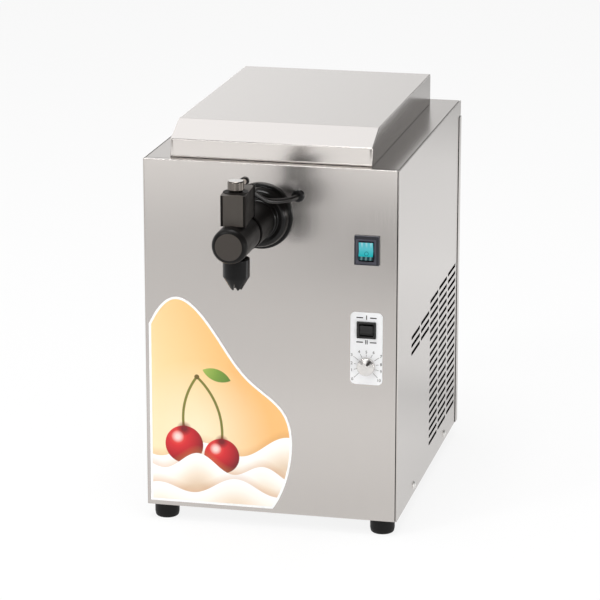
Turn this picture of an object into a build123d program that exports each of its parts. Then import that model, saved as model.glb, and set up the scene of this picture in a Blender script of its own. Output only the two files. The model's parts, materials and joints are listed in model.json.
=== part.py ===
from build123d import *
import os
from math import acos, atan2, cos, degrees, hypot, pi, radians, sin, sqrt, tan

# Cabinet sheets
CABINET_WIDTH = 265.0
CABINET_DEPTH = 355.0
CABINET_HEIGHT = 370.0
SHEET = 1.0
SEAM = 1.0
BEND_ROUND = 0.8
FRONT_LIP = 5.0
SIDE_LIP = 12.0
REAR_LIP = 12.0
REAR_STEP = 0.8
DECK_APRON = 16.0
DECK_TAB = 16.0
DECK_TAB_HALF = 70.0
TRAY_FLANGE = 18.0

# Feet
FOOT_HEIGHT = 16.0
FOOT_RADIUS = 12.8
FOOT_ROUND = 3.0
FOOT_INSET_SIDE = 17.4
FOOT_INSET_SIDE_REAR = 30.0
FOOT_INSET_FRONT = 14.5
FOOT_STUD_RADIUS = 3.0
FOOT_STUD_LENGTH = 10.0

# Dome screws of the cabinet
SCREW_HEAD_RADIUS = 4.75
SCREW_HEAD_HEIGHT = 2.4
SCREW_SHANK_RADIUS = 2.0
SCREW_SHANK_LENGTH = 7.0
SCREW_HOLE_CLEARANCE = 0.2
SIDE_SCREW_FRONT = 95.0
SIDE_SCREW_REAR = 274.6
SIDE_SCREW_RISE = 8.6
REAR_SCREW_SPREAD = 50.0
REAR_SCREW_MARGIN = 8.0

# Vent slots
VENT_LENGTH = 47.3
VENT_WIDTH = 4.0
VENT_SPACING_Y = 53.3
VENT_SPACING_Z = 8.385
VENT_DROP = 0.92
VENT_ROWS = 20
VENT_COLUMNS = 3
VENT_EXTRA_COLUMNS = 2
VENT_EXTRA_ROWS = (1, 2, 3)
VENT_TOP_RISE = 187.4
VENT_REAR_MARGIN = 44.5
REAR_VENT_ROWS = 14
REAR_VENT_RISE = 60.0

# Lid
LID_WIDTH = 209.5
LID_DEPTH = 318.5
LID_CENTRE_X = -2.4
LID_SETBACK = 12.5
LID_BAND = 17.3
LID_RISE = 31.8
LID_SLOPE = 35.0
LID_SHEET = 1.2
LID_PLUG_DROP = 2.0
LID_PLUG_CLEARANCE = 2.5
LINER_SHEET = 2.0
LINER_GAP = 0.3
GASKET_HEIGHT = 1.2
GASKET_INSET = 1.5
GASKET_WIDTH = 9.0
GASKET_SEAT_GAP = 0.2

# Cream well and container
WELL_WIDTH = 172.0
WELL_LENGTH = 234.0
WELL_DEPTH = 185.0
WELL_SETBACK = 88.0
WELL_WALL = 1.2
WELL_CORNER = 16.0
WELL_FLANGE = 8.0
INSULATION = 20.0
INSULATION_SIDE_GAP = 0.8
CONTAINER_CLEARANCE = 3.0
CONTAINER_HEIGHT = 145.0
CONTAINER_WALL = 1.5

# Evaporator coil on the left wall of the well
COIL_RADIUS = 4.0
COIL_GAP = 0.3
COIL_RUNS = 4
COIL_PITCH = 34.0
COIL_RISE = 24.0
COIL_FRONT_MARGIN = 30.0
COIL_REAR_MARGIN = 14.0
COIL_END_PITCH = 14.0
COIL_DROP = 14.0

# Outlet head, on an axis square to the front panel
HEAD_X = -9.8
HEAD_RISE = 316.9
HEAD_REACH = 133.0
HEAD_BORE = 7.0
FLANGE_RADIUS = 33.6
FLANGE_EDGE = 4.0
FLANGE_BODY_RADIUS = 31.0
FLANGE_BODY_EDGE = 9.0
FLANGE_FACE_RADIUS = 28.0
FLANGE_FACE = 15.0
BOSS_RADIUS = 21.0
BOSS_FACE = 21.0
SPIGOT_RADIUS = 9.0
SPIGOT_CLEARANCE = 0.3
COLLAR_RADIUS = 19.5
COLLAR_FRONT_RADIUS = 19.0
COLLAR_LENGTH = 51.0
COLLAR_BORE = 12.0
SEAL_RADIUS = 16.9
SEAL_LENGTH = 3.0
VALVE_RADIUS = 18.0
VALVE_END_ROUND = 6.0
VALVE_AXIS_REACH = 101.5
INSERT_CLEARANCE = 0.2
INSERT_ROD_RADIUS = 4.0
INSERT_DISCS = 7
INSERT_DISC_THICKNESS = 2.0
INSERT_NOTCH = 5.0

# Nozzle on its neck, with a two-lug bayonet
NECK_RADIUS = 9.5
NECK_DROP = 27.0
NECK_BORE = 5.5
LUG_REACH = 1.7
LUG_WIDTH = 4.0
LUG_HEIGHT = 2.0
LUG_DROP = 23.0
LUG_TURN = 60.0
NOZZLE_RADIUS = 13.4
NOZZLE_GAP = 0.4
NOZZLE_SHOULDER_DROP = 36.6
NOZZLE_TIP_DROP = 50.1
NOZZLE_TIP_RADIUS = 5.35
NOZZLE_TIP_BORE = 3.6
NOZZLE_FIT = 0.3
NOZZLE_SLOTS = 6
NOZZLE_SLOT_LENGTH = 7.5
NOZZLE_SLOT_WIDTH = 2.2

# Solenoid on the valve axis
COIL_BLOCK_WIDTH = 25.0
COIL_BLOCK_FRONT = 17.5
COIL_BLOCK_REAR = 32.5
COIL_BLOCK_BASE = 17.4
COIL_SEAT_GAP = 0.2
COIL_COLLAR_GAP = 0.5
COIL_BLOCK_TOP = 48.0
COIL_BLOCK_ROUND = 12.5
COIL_BLOCK_TURN = 4.2
COIL_BLOCK_EDGE = 0.8
COIL_RING_RADIUS = 12.3
COIL_RING_HEIGHT = 0.6
COIL_WASHER_RADIUS = 6.4
COIL_WASHER_HEIGHT = 2.3
NUT_RADIUS = 8.2
NUT_HEIGHT = 9.2
NUT_EDGE = 0.8
TUBE_RADIUS = 6.0
TUBE_BORE = 4.8
TUBE_ROOT = 12.0
TUBE_TOP = 46.0
TUBE_STUD_RADIUS = 3.0
PLUNGER_FIT = 0.1
PLUNGER_SEAT = -9.0
PLUNGER_TIP = 4.0
PLUNGER_TOP = 32.0
PLUNGER_STROKE = 5.0
SPRING_RADIUS = 3.6
SPRING_WIRE = 0.6
FIT_SLACK = 0.02

# Solenoid lead, chosen points from the coil to the control board
LEAD_RADIUS = 2.6
LEAD_EXIT_X = 9.0
LEAD_EXIT_DROP = 6.0
LEAD_SOCKET = 3.0
LEAD_HOLE_X = 39.0
LEAD_HOLE_RISE = 22.7
GROMMET_RADIUS = 6.6
GROMMET_LIP = 2.5
GROMMET_ROUND = 1.2
GROMMET_NECK = 4.5

# Air screw
AIR_SCREW_X = -16.8
AIR_SCREW_RISE = 34.6
AIR_BUSH_RADIUS = 4.4
AIR_BUSH_LENGTH = 3.0
AIR_BUSH_NECK = 3.6
AIR_SCREW_RADIUS = 2.8
AIR_SCREW_FIT = 0.08
AIR_SCREW_RECESS = 0.6
AIR_SCREW_SLOT = 0.9
AIR_NEEDLE_RADIUS = 0.9
AIR_HOLE_RADIUS = 1.2

# Gear pump behind the front panel
GEAR_TEETH = 12
GEAR_MODULE = 2.0
GEAR_PRESSURE_ANGLE = 25.0
GEAR_BACKLASH = 0.3
GEAR_WIDTH = 18.0
GEAR_SIDE_GAP = 0.3
GEAR_TIP_GAP = 0.3
GEAR_FLANK_POINTS = 5
PUMP_OUTLET_DROP = 18.0
PUMP_FRONT_WALL = 6.0
PUMP_SIDE_WALL = 5.0
PUMP_WEB = 1.2
PUMP_TOP_WALL = 2.0
PUMP_BASE_WALL = 5.0
PUMP_COVER = 8.0
PUMP_PORT_HALF = 5.0
PUMP_SHAFT_RADIUS = 4.0
PUMP_SHAFT_POCKET = 4.0
IDLER_PIN_RADIUS = 3.0
SHAFT_FIT = 0.05
PUMP_SCREW_RADIUS = 1.6
PUMP_SCREW_HEAD = 2.8
PUMP_SCREW_HEAD_HEIGHT = 2.5
PUMP_SCREW_DEPTH = 10.0
PUMP_SCREW_INSET = 3.2

# Suction pipe
PIPE_RADIUS = 5.2
PIPE_BORE = 4.0
PIPE_SIDE_RUN = 20.0
PIPE_DROP_SETBACK = 26.0
PIPE_FLOOR_GAP = 12.0
PIPE_BEND = 14.0
PIPE_HOLE_GAP = 0.4

# Belt drive
BELT_GAP = 6.0
PULLEY_WIDTH = 14.0
PULLEY_FLANGE = 1.5
PULLEY_FLANGE_RISE = 4.0
PUMP_PULLEY_RADIUS = 22.0
MOTOR_PULLEY_RADIUS = 16.0
BELT_THICKNESS = 3.0
BELT_RUN_GAP = 0.3
BELT_SIDE_GAP = 0.6
MOTOR_RISE = 114.0
MOTOR_RADIUS = 38.0
MOTOR_LENGTH = 95.0
MOTOR_RIM = 3.0
MOTOR_RIM_LENGTH = 8.0
MOTOR_SHAFT_RADIUS = 4.0
MOTOR_SHAFT_DEPTH = 30.0
BRACKET_SHEET = 3.0
BRACKET_HALF = 42.0
BRACKET_FOOT = 60.0
BRACKET_HOLE = 9.0

# Refrigeration
COMPRESSOR_X = -58.0
COMPRESSOR_SETBACK = 250.0
COMPRESSOR_RADIUS = 56.0
COMPRESSOR_HEIGHT = 128.0
COMPRESSOR_ROUND = 26.0
COMPRESSOR_PLATE = 3.0
COMPRESSOR_PLATE_HALF = 52.0
MOUNT_HEIGHT = 8.0
MOUNT_RADIUS = 9.0
MOUNT_INSET = 9.0
PORT_RADIUS = 4.5
PORT_LENGTH = 8.0
PORT_OFFSET = 15.0
PORT_RISE = 100.0
CONDENSER_SIDE_GAP = 7.0
CONDENSER_THICKNESS = 24.0
CONDENSER_LENGTH = 146.0
CONDENSER_HEIGHT = 144.0
CONDENSER_SETBACK = 187.0
CONDENSER_LIFT = 12.0
CONDENSER_PLATE = 2.0
CONDENSER_FIN = 1.2
CONDENSER_FIN_PITCH = 6.0
CONDENSER_TUBE = 4.5
CONDENSER_TUBE_ROWS = 5
FAN_SIZE = 119.0
FAN_DEPTH = 38.0
FAN_OPENING = 57.0
FAN_HUB_RADIUS = 21.0
FAN_TIP_GAP = 2.0
FAN_BLADES = 7
FAN_BLADE_THICKNESS = 2.0
FAN_BLADE_CHORD = 30.0
FAN_BLADE_PITCH = 40.0
FAN_STRUTS = 4
FAN_STRUT_DEPTH = 4.0
FAN_STRUT_WIDTH = 6.0
FAN_RUN_GAP = 3.0
FAN_PIN_RADIUS = 3.0
DRIER_RADIUS = 9.0
DRIER_LENGTH = 70.0
DRIER_SETBACK = 170.0
DRIER_RISE = 31.0
DRIER_RIGHT_X = 50.0
LINE_RADIUS = 3.0
CAPILLARY_RADIUS = 2.0
LINE_BEND = 7.0
LINE_SIDE_X = 40.0
CAPILLARY_X = -75.0

# Controls on the right of the front panel
CONTROL_INSET = 32.5
POWER_RISE = 286.9
POWER_BEZEL_WIDTH = 25.6
POWER_BEZEL_HEIGHT = 30.6
POWER_BEZEL_DEPTH = 2.6
POWER_BODY_WIDTH = 21.0
POWER_BODY_HEIGHT = 27.0
POWER_BODY_DEPTH = 26.0
POWER_ROCKER_WIDTH = 15.0
POWER_ROCKER_HALF = 9.0
POWER_ROCKER_VALLEY = 4.2
POWER_ROCKER_HORN = 2.8
POWER_ROCKER_TILT = 9.0
POWER_PIVOT_DEPTH = 2.0
MODE_RISE = 203.5
MODE_BEZEL_WIDTH = 20.0
MODE_BEZEL_HEIGHT = 17.6
MODE_BEZEL_DEPTH = 1.6
MODE_BODY_WIDTH = 17.6
MODE_BODY_HEIGHT = 14.0
MODE_ROCKER_WIDTH = 13.6
MODE_ROCKER_HALF = 4.8
MODE_ROCKER_VALLEY = 3.6
MODE_ROCKER_HORN = 1.2
MODE_ROCKER_TILT = 8.0
MODE_PIVOT_DEPTH = 2.2
ROCKER_ROOM = 0.4
ROCKER_HUB_RADIUS = 3.0
ROCKER_CAVITY_DEPTH = 7.0
ROCKER_PIN_RADIUS = 1.2
ROCKER_PIN_LENGTH = 1.2
BEZEL_ROUND = 0.8
CUTOUT_CLEARANCE = 0.3
KNOB_RISE = 165.5
KNOB_RADIUS = 9.3
KNOB_TOP_RADIUS = 8.8
KNOB_HEIGHT = 6.0
KNOB_ROUND = 1.0
KNOB_GAP = 0.6
KNOB_GROOVE = 0.8
KNOB_POINTER = 36.0
KNOB_SHAFT_RADIUS = 3.0
POT_RADIUS = 8.5
POT_DEPTH = 18.0
POT_NECK_RADIUS = 4.5
POT_NECK_LENGTH = 3.0
LABEL_WIDTH = 33.2
LABEL_HEIGHT = 75.9
LABEL_RISE = 184.0
LABEL_CORNER = 5.0
LABEL_THICKNESS = 0.4
LABEL_CUT_CLEARANCE = 0.2
BOARD_THICKNESS = 1.6
BOARD_WIDTH = 56.0
BOARD_HEIGHT = 92.0
BOARD_RISE = 190.0
BOARD_SHIFT = -3.0
TERMINAL_WIDTH = 24.0
TERMINAL_HEIGHT = 12.0
TERMINAL_DEPTH = 10.0
RELAY_RISE = 5.0
RELAY_HEIGHT = 24.0

# Sticker on the front panel, with a wave that falls from left to right
STICKER_THICKNESS = 0.3
STICKER_EDGE = 2.0
STICKER_BASE = 4.5
STICKER_LEFT_RISE = 196.0
STICKER_CREST_X = -96.0
STICKER_CREST_RISE = 226.0
STICKER_FALL_X = -50.0
STICKER_FALL_RISE = 178.0
STICKER_DIP_X = -20.0
STICKER_DIP_RISE = 140.0
STICKER_SWELL_X = 14.0
STICKER_SWELL_RISE = 110.0
STICKER_BULGE_X = 22.0
STICKER_BULGE_RISE = 64.0
STICKER_RIGHT_X = 2.0

# Mains gland on the rear cover
GLAND_REACH = 14.0
GLAND_RADIUS = 9.0
GLAND_NUT_RADIUS = 12.0
GLAND_NUT_LENGTH = 5.0
GLAND_BORE = 4.0
GLAND_X = -85.0
GLAND_RISE = 32.0

# Places worked out from the sizes above
FLOOR_Z = FOOT_HEIGHT
DECK_Z = FLOOR_Z + CABINET_HEIGHT
DECK_UNDER = DECK_Z - SHEET
TRAY_TOP = FLOOR_Z + SHEET
FRONT_Y = (HEAD_REACH - CABINET_DEPTH - GLAND_REACH) / 2
BACK_Y = FRONT_Y + CABINET_DEPTH
PANEL_BACK = FRONT_Y + SHEET
HALF_WIDTH = CABINET_WIDTH / 2
INNER_HALF = HALF_WIDTH - SHEET
PANEL_HALF = INNER_HALF - SEAM
CONTROL_X = HALF_WIDTH - CONTROL_INSET
SCREW_HOLE = SCREW_SHANK_RADIUS + SCREW_HOLE_CLEARANCE
LID_FRONT = FRONT_Y + LID_SETBACK
LID_BASE = DECK_Z + GASKET_HEIGHT
WELL_FRONT = FRONT_Y + WELL_SETBACK
WELL_Y = WELL_FRONT + WELL_LENGTH / 2
WELL_FLOOR = DECK_UNDER - WELL_DEPTH
WELL_LEFT = LID_CENTRE_X - WELL_WIDTH / 2 - WELL_WALL
COIL_CHANNEL = 2 * COIL_RADIUS + 2 * COIL_GAP
COIL_X = WELL_LEFT - COIL_GAP - COIL_RADIUS
INSULATION_BASE = WELL_FLOOR - WELL_WALL - INSULATION
COIL_END_Z = INSULATION_BASE - COIL_DROP
COIL_END_Y = WELL_FRONT + COIL_FRONT_MARGIN
HEAD_Z = FLOOR_Z + HEAD_RISE
COLLAR_FACE = BOSS_FACE + COLLAR_LENGTH
VALVE_FACE = COLLAR_FACE + SEAL_LENGTH
VALVE_Y = FRONT_Y - VALVE_AXIS_REACH
LUG_RADIUS = NECK_RADIUS + LUG_REACH
PITCH_RADIUS = GEAR_TEETH * GEAR_MODULE / 2
TIP_RADIUS = PITCH_RADIUS + GEAR_MODULE
ROOT_RADIUS = PITCH_RADIUS - 1.25 * GEAR_MODULE
GEAR_BORE = TIP_RADIUS + GEAR_TIP_GAP
PUMP_Z = HEAD_Z + PUMP_OUTLET_DROP
DRIVE_X = HEAD_X + PITCH_RADIUS
IDLER_X = HEAD_X - PITCH_RADIUS
PUMP_LEFT = IDLER_X - GEAR_BORE - PUMP_SIDE_WALL
PUMP_RIGHT = DRIVE_X + GEAR_BORE + PUMP_SIDE_WALL
SUCTION_Z = PUMP_Z + GEAR_BORE + PUMP_WEB + PIPE_BORE
PUMP_TOP = SUCTION_Z + PIPE_BORE + PUMP_TOP_WALL
PUMP_BASE = HEAD_Z - HEAD_BORE - PUMP_BASE_WALL
GEAR_FRONT = PANEL_BACK + PUMP_FRONT_WALL + GEAR_SIDE_GAP
GEAR_BACK = GEAR_FRONT + GEAR_WIDTH
COVER_FRONT = GEAR_BACK + GEAR_SIDE_GAP
COVER_BACK = COVER_FRONT + PUMP_COVER
SUCTION_Y = (GEAR_FRONT + GEAR_BACK) / 2
PULLEY_FRONT = COVER_BACK + BELT_GAP
PULLEY_BACK = PULLEY_FRONT + PULLEY_WIDTH
BRACKET_FRONT = PULLEY_BACK + BELT_GAP
BRACKET_BACK = BRACKET_FRONT + BRACKET_SHEET
MOTOR_Z = TRAY_TOP + MOTOR_RISE
PIPE_X = PUMP_LEFT - PIPE_SIDE_RUN
PIPE_DROP_Y = WELL_FRONT + PIPE_DROP_SETBACK
COMPRESSOR_Y = FRONT_Y + COMPRESSOR_SETBACK
COMPRESSOR_BASE = TRAY_TOP + MOUNT_HEIGHT
PORT_Z = COMPRESSOR_BASE + PORT_RISE
CONDENSER_RIGHT = INNER_HALF - CONDENSER_SIDE_GAP
CONDENSER_LEFT = CONDENSER_RIGHT - CONDENSER_THICKNESS
CONDENSER_X = CONDENSER_RIGHT - CONDENSER_THICKNESS / 2
CONDENSER_FRONT = FRONT_Y + CONDENSER_SETBACK
CONDENSER_BACK = CONDENSER_FRONT + CONDENSER_LENGTH
CONDENSER_BASE = TRAY_TOP + CONDENSER_LIFT
CONDENSER_TOP = CONDENSER_BASE + CONDENSER_HEIGHT
CONDENSER_ROW = CONDENSER_HEIGHT / CONDENSER_TUBE_ROWS
FAN_Y = (CONDENSER_FRONT + CONDENSER_BACK) / 2
FAN_Z = (CONDENSER_BASE + CONDENSER_TOP) / 2
FAN_LEFT = CONDENSER_LEFT - FAN_DEPTH
ROTOR_LEFT = FAN_LEFT + FAN_STRUT_DEPTH + FAN_RUN_GAP
ROTOR_RIGHT = CONDENSER_LEFT - FAN_RUN_GAP
DRIER_Y = FRONT_Y + DRIER_SETBACK
DRIER_Z = TRAY_TOP + DRIER_RISE
BOARD_FRONT = PANEL_BACK + POT_DEPTH
BOARD_BACK = BOARD_FRONT + BOARD_THICKNESS
BOARD_X = CONTROL_X + BOARD_SHIFT
TERMINAL_TOP = FLOOR_Z + BOARD_RISE + BOARD_HEIGHT / 2
TERMINAL_X = BOARD_X - BOARD_WIDTH / 2 + TERMINAL_WIDTH / 2


def slab(x0, x1, y0, y1, z0, z1):
    """A block between two opposite corners."""
    middle = Pos((x0 + x1) / 2, (y0 + y1) / 2, (z0 + z1) / 2)
    return middle * Box(abs(x1 - x0), abs(y1 - y0), abs(z1 - z0))


def rod_x(radius, x0, x1, y, z):
    """A round bar along X."""
    return Pos((x0 + x1) / 2, y, z) * Rot(0, 90, 0) * Cylinder(radius, abs(x1 - x0))


def rod_y(radius, x, y0, y1, z):
    """A round bar along Y."""
    return Pos(x, (y0 + y1) / 2, z) * Rot(90, 0, 0) * Cylinder(radius, abs(y1 - y0))


def rod_z(radius, x, y, z0, z1):
    """A round bar along Z."""
    return Pos(x, y, (z0 + z1) / 2) * Cylinder(radius, abs(z1 - z0))


def prism_x(outline, x0, x1):
    """An outline in (y, z), extruded from x0 to x1."""
    plane = Plane((x0, 0, 0), x_dir=(0, 1, 0), z_dir=(1, 0, 0))
    return extrude(plane * outline, amount=x1 - x0)


def prism_y(outline, y0, y1):
    """An outline in (x, z), extruded from y1 forward to y0."""
    plane = Plane((0, y1, 0), x_dir=(1, 0, 0), z_dir=(0, -1, 0))
    return extrude(plane * outline, amount=y1 - y0)


def prism_z(outline, z0, z1):
    """An outline in (x, y), extruded from z0 up to z1."""
    return Pos(0, 0, z0) * extrude(outline, amount=z1 - z0)


def rounded_face(corners):
    """A closed outline through (u, v, radius) corners; a radius of 0 leaves a corner sharp."""
    face = make_face(Polyline(*[(u, v) for u, v, _ in corners], close=True))
    for u, v, radius in corners:
        if radius > 0:
            face = fillet(face.vertices().sort_by_distance((u, v, 0))[0], radius)
    return face


def turned_on_head(corners):
    """A turned piece on the head's axis, from (radius, reach in front of the panel, round) corners."""
    face = rounded_face([(radius, FRONT_Y - reach, rnd) for radius, reach, rnd in corners])
    return Pos(HEAD_X, 0, HEAD_Z) * revolve(face, Axis.Y)


def turned_on_valve(corners):
    """A turned piece on the upright valve axis, from (radius, height over the head axis, round) corners."""
    face = rounded_face(corners)
    upright = Plane((HEAD_X, VALVE_Y, HEAD_Z), x_dir=(1, 0, 0), z_dir=(0, -1, 0))
    return revolve(upright * face, Axis((HEAD_X, VALVE_Y, HEAD_Z), (0, 0, 1)))


def tube_along(points, radius, bend):
    """A round bar along straight runs joined by arcs."""
    path = FilletPolyline(*points, radius=bend)
    start = Plane(path @ 0, z_dir=path % 0)
    return sweep(start * Circle(radius), path=path)


def well_outline(growth):
    """Plan of the well's inside, grown by a wall or shrunk by a clearance."""
    plan = RectangleRounded(WELL_WIDTH + 2 * growth, WELL_LENGTH + 2 * growth, WELL_CORNER + growth)
    return Pos(LID_CENTRE_X, WELL_Y) * plan


def dome_screw(reach_out):
    """A dome-headed screw along +Z, with the underside of its head at the origin."""
    rise = SCREW_HEAD_HEIGHT
    ball = (SCREW_HEAD_RADIUS**2 + rise**2) / (2 * rise)
    head = Pos(0, 0, rise - ball) * Sphere(ball)
    head = head & Pos(0, 0, rise / 2) * Cylinder(SCREW_HEAD_RADIUS + 1, rise)
    return head + Pos(0, 0, -reach_out / 2) * Cylinder(SCREW_SHANK_RADIUS, reach_out)


def side_screw_places():
    """Positions of the side screws along Y."""
    return [FRONT_Y + SIDE_SCREW_FRONT, FRONT_Y + SIDE_SCREW_REAR]


def rear_screw_places():
    """Positions of the rear screws in (x, z)."""
    low = FLOOR_Z + TRAY_FLANGE / 2
    high = DECK_Z - DECK_APRON - SEAM - REAR_SCREW_MARGIN
    return [(x, z) for x in (-REAR_SCREW_SPREAD, REAR_SCREW_SPREAD) for z in (low, high)]


def foot_places():
    """Axes of the four feet."""
    front = HALF_WIDTH - FOOT_INSET_SIDE
    rear = HALF_WIDTH - FOOT_INSET_SIDE_REAR
    pairs = ((front, FRONT_Y + FOOT_INSET_FRONT), (rear, BACK_Y - FOOT_INSET_FRONT))
    return [(side * half, y) for half, y in pairs for side in (-1, 1)]


def make_front_panel():
    """Front sheet with a short top lip and the openings of head, lead, air screw and controls."""
    panel = slab(-PANEL_HALF, PANEL_HALF, FRONT_Y, PANEL_BACK, FLOOR_Z, DECK_Z)
    panel += slab(-PANEL_HALF, PANEL_HALF, FRONT_Y, FRONT_Y + FRONT_LIP, DECK_UNDER, DECK_Z)
    brow = panel.edges().filter_by(Axis.X).sort_by(lambda edge: edge.center().Y - edge.center().Z)[0]
    panel = fillet(brow, BEND_ROUND)
    ends = (FRONT_Y - SHEET, PANEL_BACK + SHEET)
    panel -= rod_y(SPIGOT_RADIUS + SPIGOT_CLEARANCE, HEAD_X, *ends, HEAD_Z)
    panel -= rod_y(GROMMET_NECK, HEAD_X + LEAD_HOLE_X, *ends, HEAD_Z + LEAD_HOLE_RISE)
    panel -= rod_y(AIR_BUSH_NECK, HEAD_X + AIR_SCREW_X, *ends, HEAD_Z + AIR_SCREW_RISE)
    panel -= rod_y(POT_NECK_RADIUS + CUTOUT_CLEARANCE, CONTROL_X, *ends, FLOOR_Z + KNOB_RISE)
    power = (POWER_BODY_WIDTH, POWER_BODY_HEIGHT, POWER_RISE)
    mode = (MODE_BODY_WIDTH, MODE_BODY_HEIGHT, MODE_RISE)
    for width, height, rise in (power, mode):
        cut = Rectangle(width + 2 * CUTOUT_CLEARANCE, height + 2 * CUTOUT_CLEARANCE)
        panel -= prism_y(Pos(CONTROL_X, FLOOR_Z + rise) * cut, *ends)
    return panel


def vent_slots():
    """Outline of the side vents in (y, z): three full columns, with three rows carried further forward."""
    slot = SlotOverall(VENT_LENGTH, VENT_WIDTH)
    rear = BACK_Y - VENT_REAR_MARGIN
    vents = Sketch()
    for row in range(VENT_ROWS):
        columns = VENT_COLUMNS + (VENT_EXTRA_COLUMNS if row in VENT_EXTRA_ROWS else 0)
        height = FLOOR_Z + VENT_TOP_RISE - row * VENT_SPACING_Z
        for column in range(columns):
            vents += Pos(rear - column * VENT_SPACING_Y, height - column * VENT_DROP) * slot
    return vents


def make_side_panel(side, vented):
    """Side sheet with lips behind the front panel and under the deck; side is +1 or -1."""
    outer = side * HALF_WIDTH
    inner = side * INNER_HALF
    lip_end = side * (INNER_HALF - SIDE_LIP)
    panel = slab(inner, outer, FRONT_Y, BACK_Y, FLOOR_Z, DECK_Z)
    for axis, pick in ((Axis.Z, lambda edge: edge.center().Y), (Axis.Y, lambda edge: -edge.center().Z)):
        outside = panel.faces().sort_by(Axis.X)[-1 if side > 0 else 0].edges().filter_by(axis)
        panel = fillet(outside.sort_by(pick)[0], BEND_ROUND)
    panel += slab(inner, lip_end, PANEL_BACK, PANEL_BACK + SHEET, TRAY_TOP, DECK_UNDER)
    panel += slab(inner, lip_end, PANEL_BACK, BACK_Y - SHEET - SEAM, DECK_UNDER - SHEET, DECK_UNDER)
    panel -= slab(inner, outer, BACK_Y - REAR_LIP, BACK_Y, FLOOR_Z, DECK_Z - DECK_APRON)
    reach = (min(inner, outer) - SHEET, max(inner, outer) + SHEET)
    for y in side_screw_places():
        panel -= rod_x(SCREW_HOLE, *reach, y, FLOOR_Z + SIDE_SCREW_RISE)
    if vented:
        panel -= prism_x(vent_slots(), *reach)
    return panel


def make_top_deck():
    """Deck sheet round the well, with an apron at the back and a tab behind the rear cover."""
    deck = slab(-PANEL_HALF, PANEL_HALF, FRONT_Y + FRONT_LIP + SEAM, BACK_Y, DECK_UNDER, DECK_Z)
    deck += slab(-PANEL_HALF, PANEL_HALF, BACK_Y - SHEET, BACK_Y, DECK_Z - DECK_APRON, DECK_Z)
    tab_base = DECK_Z - DECK_APRON - DECK_TAB
    tab_front = BACK_Y - 2 * SHEET
    deck += slab(-DECK_TAB_HALF, DECK_TAB_HALF, tab_front, BACK_Y - SHEET, tab_base, DECK_UNDER)
    deck -= prism_z(well_outline(0), DECK_UNDER - SHEET, DECK_Z + SHEET)
    for x, z in rear_screw_places():
        deck -= rod_y(SCREW_HOLE, x, BACK_Y - 3 * SHEET, BACK_Y + SHEET, z)
    return deck


def make_rear_cover():
    """Rear sheet with flanges that wrap onto the sides, vents, screw holes and the gland hole."""
    top = DECK_Z - DECK_APRON - SEAM
    outer = HALF_WIDTH + REAR_STEP
    inner = outer - SHEET
    cover = slab(-outer, outer, BACK_Y - SHEET, BACK_Y, FLOOR_Z, top)
    for side in (-1, 1):
        cover += slab(side * inner, side * outer, BACK_Y - REAR_LIP + SEAM, BACK_Y, FLOOR_Z, top)
    slot = SlotOverall(VENT_LENGTH, VENT_WIDTH)
    vents = Sketch()
    for row in range(REAR_VENT_ROWS):
        height = FLOOR_Z + REAR_VENT_RISE + row * VENT_SPACING_Z
        vents += [Pos(column * VENT_SPACING_Y, height) * slot for column in (-1, 0, 1)]
    ends = (BACK_Y - 2 * SHEET, BACK_Y + SHEET)
    cover -= prism_y(vents, *ends)
    for x, z in rear_screw_places():
        cover -= rod_y(SCREW_HOLE, x, *ends, z)
    cover -= rod_y(GLAND_RADIUS, GLAND_X, *ends, FLOOR_Z + GLAND_RISE)
    return cover


def make_base_tray():
    """Base sheet with upturned flanges for the panels' screws."""
    front = PANEL_BACK
    rear = BACK_Y - SHEET
    tray = slab(-INNER_HALF, INNER_HALF, front, rear, FLOOR_Z, TRAY_TOP)
    flange_top = FLOOR_Z + TRAY_FLANGE
    end_half = INNER_HALF - SIDE_LIP - SEAM
    tray += slab(-end_half, end_half, front, front + SHEET, FLOOR_Z, flange_top)
    tray += slab(-end_half, end_half, rear - SHEET, rear, FLOOR_Z, flange_top)
    side_front = front + SHEET + SEAM
    side_rear = BACK_Y - REAR_LIP - SEAM
    for side in (-1, 1):
        inner = side * (INNER_HALF - SHEET)
        tray += slab(inner, side * INNER_HALF, side_front, side_rear, FLOOR_Z, flange_top)
    for y in side_screw_places():
        tray -= rod_x(SCREW_HOLE, -HALF_WIDTH, HALF_WIDTH, y, FLOOR_Z + SIDE_SCREW_RISE)
    for x, z in rear_screw_places():
        tray -= rod_y(SCREW_HOLE, x, rear - 2 * SHEET, rear + SHEET, z)
    for x, y in foot_places():
        tray -= rod_z(FOOT_STUD_RADIUS, x, y, FLOOR_Z - SHEET, TRAY_TOP + SHEET)
    return tray


def make_rubber_feet():
    """Four rubber feet with moulded-in studs that pass through the base."""
    corners = [(0, 0, 0), (FOOT_RADIUS, 0, FOOT_ROUND), (FOOT_RADIUS, FOOT_HEIGHT, 0)]
    corners += [(FOOT_STUD_RADIUS, FOOT_HEIGHT, 0), (FOOT_STUD_RADIUS, FOOT_HEIGHT + FOOT_STUD_LENGTH, 0)]
    corners += [(0, FOOT_HEIGHT + FOOT_STUD_LENGTH, 0)]
    foot = revolve(Plane.XZ * rounded_face(corners), Axis.Z)
    return Compound(children=[Pos(x, y, 0) * foot for x, y in foot_places()])


def make_side_screws():
    """Dome screws that hold the side sheets to the base."""
    screws = []
    for side in (-1, 1):
        for y in side_screw_places():
            place = Pos(side * HALF_WIDTH, y, FLOOR_Z + SIDE_SCREW_RISE) * Rot(0, 90 * side, 0)
            screws.append(place * dome_screw(SCREW_SHANK_LENGTH))
    return Compound(children=screws)


def make_rear_cover_screws():
    """Dome screws that hold the rear cover."""
    screw = dome_screw(SCREW_SHANK_LENGTH)
    return Compound(children=[Pos(x, BACK_Y, z) * Rot(-90, 0, 0) * screw for x, z in rear_screw_places()])


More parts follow.
